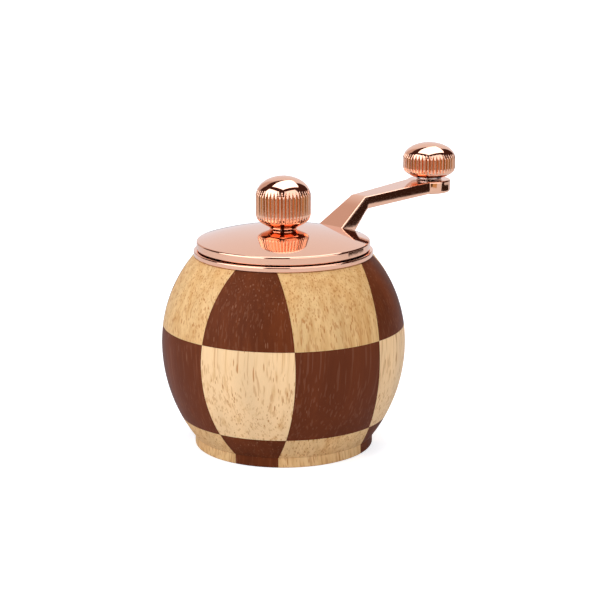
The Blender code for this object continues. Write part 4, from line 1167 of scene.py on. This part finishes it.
def softbox(name, centre, width, depth, brightness, facing):
    """A rectangular area light that faces a place in the studio."""
    light = bpy.data.lights.new(name, "AREA")
    light.shape = "RECTANGLE"
    light.size = width
    light.size_y = depth
    light.energy = brightness * math.pi * width * depth
    light.color = LIGHT_COLOUR
    obj = bpy.data.objects.new(name, light)
    obj.location = studio_place(*centre)
    aim = studio_place(*facing) - obj.location
    obj.rotation_euler = (aim.to_track_quat("-Z", "Y")).to_euler()
    obj.visible_camera = False
    bpy.context.scene.collection.objects.link(obj)
    return obj


def standing_box(name, turn, distance, width, height, brightness):
    """An upright softbox that stands on the floor; it is turned to the right of the camera."""
    over_floor = 0.045
    across, away = distance * math.sin(turn), -distance * math.cos(turn)
    middle = over_floor + height / 2
    return softbox(name, (across, away, middle), width, height, brightness, (0.0, 0.0, middle))


def stage_object(name, bm, paint):
    """Makes a bmesh an object of the scene with its paint, for the floor, the wall and the floor's
    stretches.
    """
    obj = in_scene(name, bm, paint)
    return obj


def room_world(room):
    """White for the camera, a dark room for reflections, and a weak fill for everything else."""
    white, fill = (1.0, 1.0, 1.0), (0.24, 0.24, 0.24)
    world = bpy.data.worlds.new("studio")
    world.use_nodes = True
    nodes, links = world.node_tree.nodes, world.node_tree.links
    path = nodes.new("ShaderNodeLightPath")
    seen = nodes["Background"]
    seen.inputs["Color"].default_value = (*fill, 1.0)
    for ray, colour in (("Is Camera Ray", white), ("Is Glossy Ray", room)):
        other = nodes.new("ShaderNodeBackground")
        other.inputs["Color"].default_value = (*colour, 1.0)
        either = nodes.new("ShaderNodeMixShader")
        links.new(path.outputs[ray], either.inputs[0])
        links.new(seen.outputs[0], either.inputs[1])
        links.new(other.outputs[0], either.inputs[2])
        seen = either
    links.new(seen.outputs[0], nodes["World Output"].inputs["Surface"])
    return world


def pale_floor(colour):
    """A floor that glows for the camera, so that it runs into the white behind; clear from below."""
    radius, drop = 4.0, 0.02 * MM
    near_glow, fade_from, fade_to = 0.62, 0.12, 0.7
    paint = Finish("studio_floor")
    direct = paint.node("ShaderNodeLightPath", output="Is Camera Ray")
    place = paint.node("ShaderNodeTexCoord", output="Object")
    distance = paint.node("ShaderNodeVectorMath", {"operation": "LENGTH"}, {0: place}, "Value")
    glow = direct * (near_glow + (1 - near_glow) * paint.ramp(distance, fade_from, fade_to))
    paint.surface(base_color=colour, roughness=0.9, specular_ior_level=0.0,
                  emission_color=glow, emission_strength=1.0)
    clear = paint.node("ShaderNodeBsdfTransparent")
    under = paint.node("ShaderNodeNewGeometry", output="Backfacing")
    shadow = paint.node("ShaderNodeLightPath", output="Is Shadow Ray")
    shown = paint.node("ShaderNodeMixShader", {}, {
        0: under.math("MAXIMUM", under, shadow), 1: Value(paint, paint.shader.outputs[0]), 2: clear})
    paint.links.new(shown.socket, paint.nodes["Material Output"].inputs["Surface"])
    bm = bmesh.new()
    bmesh.ops.create_circle(bm, cap_ends=True, segments=SMALL_STEPS, radius=radius)
    bmesh.ops.translate(bm, vec=(0.0, 0.0, -drop), verts=bm.verts)
    stage_object("floor", bm, paint.material)


def table_end(name, start, end, near, far, colour):
    """A darker stretch of floor that only reflections see, between two turns to the right."""
    over_floor, steps = 0.5 * MM, 12
    paint = Finish(name)
    paint.surface(base_color=colour, roughness=1.0, specular_ior_level=0.0)
    bm = bmesh.new()
    edge = [bm.verts.new(studio_place(r * math.sin(start), -r * math.cos(start), over_floor))
            for r in (near, far)]
    bm.edges.new(edge)
    bmesh.ops.spin(bm, geom=bm.verts[:] + bm.edges[:], cent=(MILL_X, 0.0, 0.0), axis=(0.0, 0.0, 1.0),
                   dvec=(0.0, 0.0, 0.0), angle=end - start, steps=steps)
    bmesh.ops.recalc_face_normals(bm, faces=bm.faces)
    obj = stage_object(name, bm, paint.material)
    obj.visible_camera = False
    obj.visible_diffuse = False
    obj.visible_shadow = False
    return obj


def table_ends():
    """The floor's dark and gold stretches that give the ribs, the rim and the arm their contrast."""
    dark, gold = (0.03, 0.015, 0.01), (0.50, 0.31, 0.13)
    side, front, behind, room_end, behind_end = 0.345, 0.376, 0.31, 2.5, 0.50
    # Each stretch has its two turns in degrees, its near and far edge, and its colour
    ends = ((-92, -77, side, room_end, dark), (-52, -34, front, room_end, gold),
            (-34, -14, front, room_end, dark), (-14, 6, front, room_end, gold),
            (6, 24, front, room_end, dark), (24, 48, front, room_end, gold),
            (76, 92, side, room_end, dark), (92, 128, behind, behind_end, dark))
    for i, (start, end, near, far, colour) in enumerate(ends):
        table_end(f"table_end_{i + 1}", math.radians(start), math.radians(end), near, far, colour)


def back_wall(colour, left_colour):
    """A lit wall behind the mill, warmer on its left; only reflections see it."""
    left, right, away, bottom, top = -1.3, 0.68, 1.0, 0.01, 1.4
    warm_from, warm_to, brightness = 0.35, 0.62, 1.4
    paint = Finish("studio_wall")
    place = paint.node("ShaderNodeTexCoord", output="Object")
    leftward = studio_place(-1.0, 0.0, 0.0) - studio_place(0.0, 0.0, 0.0)
    across = paint.node("ShaderNodeVectorMath", {"operation": "DOT_PRODUCT"}, {
        0: place, 1: leftward}, "Value")
    dimmed = paint.mix(paint.ramp(across, warm_from, warm_to), colour, left_colour)
    paint.surface(base_color=(0.0, 0.0, 0.0), roughness=1.0, specular_ior_level=0.0,
                  emission_color=dimmed, emission_strength=brightness)
    bm = bmesh.new()
    bm.edges.new([bm.verts.new(studio_place(left, away, z)) for z in (bottom, top)])
    swept = bmesh.ops.extrude_edge_only(bm, edges=bm.edges[:])["geom"]
    bmesh.ops.translate(bm, vec=studio_place(right, away, 0.0) - studio_place(left, away, 0.0),
                        verts=[item for item in swept if isinstance(item, bmesh.types.BMVert)])
    obj = stage_object("back_wall", bm, paint.material)
    obj.visible_camera = False
    obj.visible_diffuse = False
    return obj


class MILL_OT_studio(bpy.types.Operator):
    """Set up the pale floor, the soft lights and the camera"""

    bl_idname = "pepper_mill.studio"
    bl_label = "Studio"

    def execute(self, context):
        scene = context.scene
        studio = scene.pepper_mill_studio
        scene.world = room_world(studio.room)
        pale_floor(studio.floor)
        table_ends()
        back_wall(studio.wall, studio.wall_left)
        softbox("top_softbox", centre=(0.14, 0.22, 0.95), width=1.06, depth=0.72,
                brightness=studio.top, facing=(0.14, 0.22, 0.0))
        standing_box("left_softbox", turn=math.radians(-58), distance=0.75, width=1.0, height=1.06,
                     brightness=studio.left)
        standing_box("right_softbox", turn=math.radians(43), distance=0.75, width=1.0, height=1.12,
                     brightness=studio.right)
        under_light = softbox("under_light", centre=(0.0, 0.0, -0.006), width=0.034, depth=0.034,
                              brightness=1.6, facing=(0.0, 0.0, 0.1))
        under_light.data.shape = "DISK"

        camera = bpy.data.cameras.new("camera")
        camera.lens = CAMERA_LENS
        camera.sensor_width = SENSOR_WIDTH
        camera.clip_start = 0.01
        view = bpy.data.objects.new("camera", camera)
        view.location = CAMERA_PLACE
        view.rotation_euler = (CAMERA_TILT, 0.0, VIEW_TURN)
        scene.collection.objects.link(view)
        scene.camera = view
        scene.view_settings.view_transform = "Standard"
        return {"FINISHED"}


class MILL_PT_panel(bpy.types.Panel):
    """Lists the mill's sizes, colours and pieces"""

    bl_idname = "MILL_PT_panel"
    bl_label = "Pepper mill"
    bl_space_type = "VIEW_3D"
    bl_region_type = "UI"
    bl_category = "Pepper mill"

    def draw(self, context):
        for key in SETTINGS:
            box = self.layout.box()
            group = getattr(context.scene, key)
            for prop in group.bl_rna.properties:
                if prop.identifier not in ("rna_type", "name"):
                    box.prop(group, prop.identifier)
        for operator in OPERATORS:
            self.layout.operator(operator.bl_idname)


SETTINGS = {
    "pepper_mill_wood": WoodSettings,
    "pepper_mill_lid": LidSettings,
    "pepper_mill_knobs": KnobSettings,
    "pepper_mill_grinder": GrinderSettings,
    "pepper_mill_metal": MetalSettings,
    "pepper_mill_studio": StudioSettings,
}
OPERATORS = (MILL_OT_studio, MILL_OT_wood, MILL_OT_collar, MILL_OT_lid, MILL_OT_knobs,
             MILL_OT_grinder)


def register():
    for cls in (*SETTINGS.values(), *OPERATORS, MILL_PT_panel):
        bpy.utils.register_class(cls)
    for key, cls in SETTINGS.items():
        setattr(bpy.types.Scene, key, bpy.props.PointerProperty(type=cls))


def unregister():
    for key in SETTINGS:
        delattr(bpy.types.Scene, key)
    for cls in (MILL_PT_panel, *reversed(OPERATORS), *reversed(SETTINGS.values())):
        bpy.utils.unregister_class(cls)


def main():
    register()
    bpy.ops.pepper_mill.studio()
    bpy.ops.pepper_mill.wood()
    bpy.ops.pepper_mill.collar()
    bpy.ops.pepper_mill.lid()
    bpy.ops.pepper_mill.knobs()
    bpy.ops.pepper_mill.grinder()


if __name__ == "__main__":
    main()
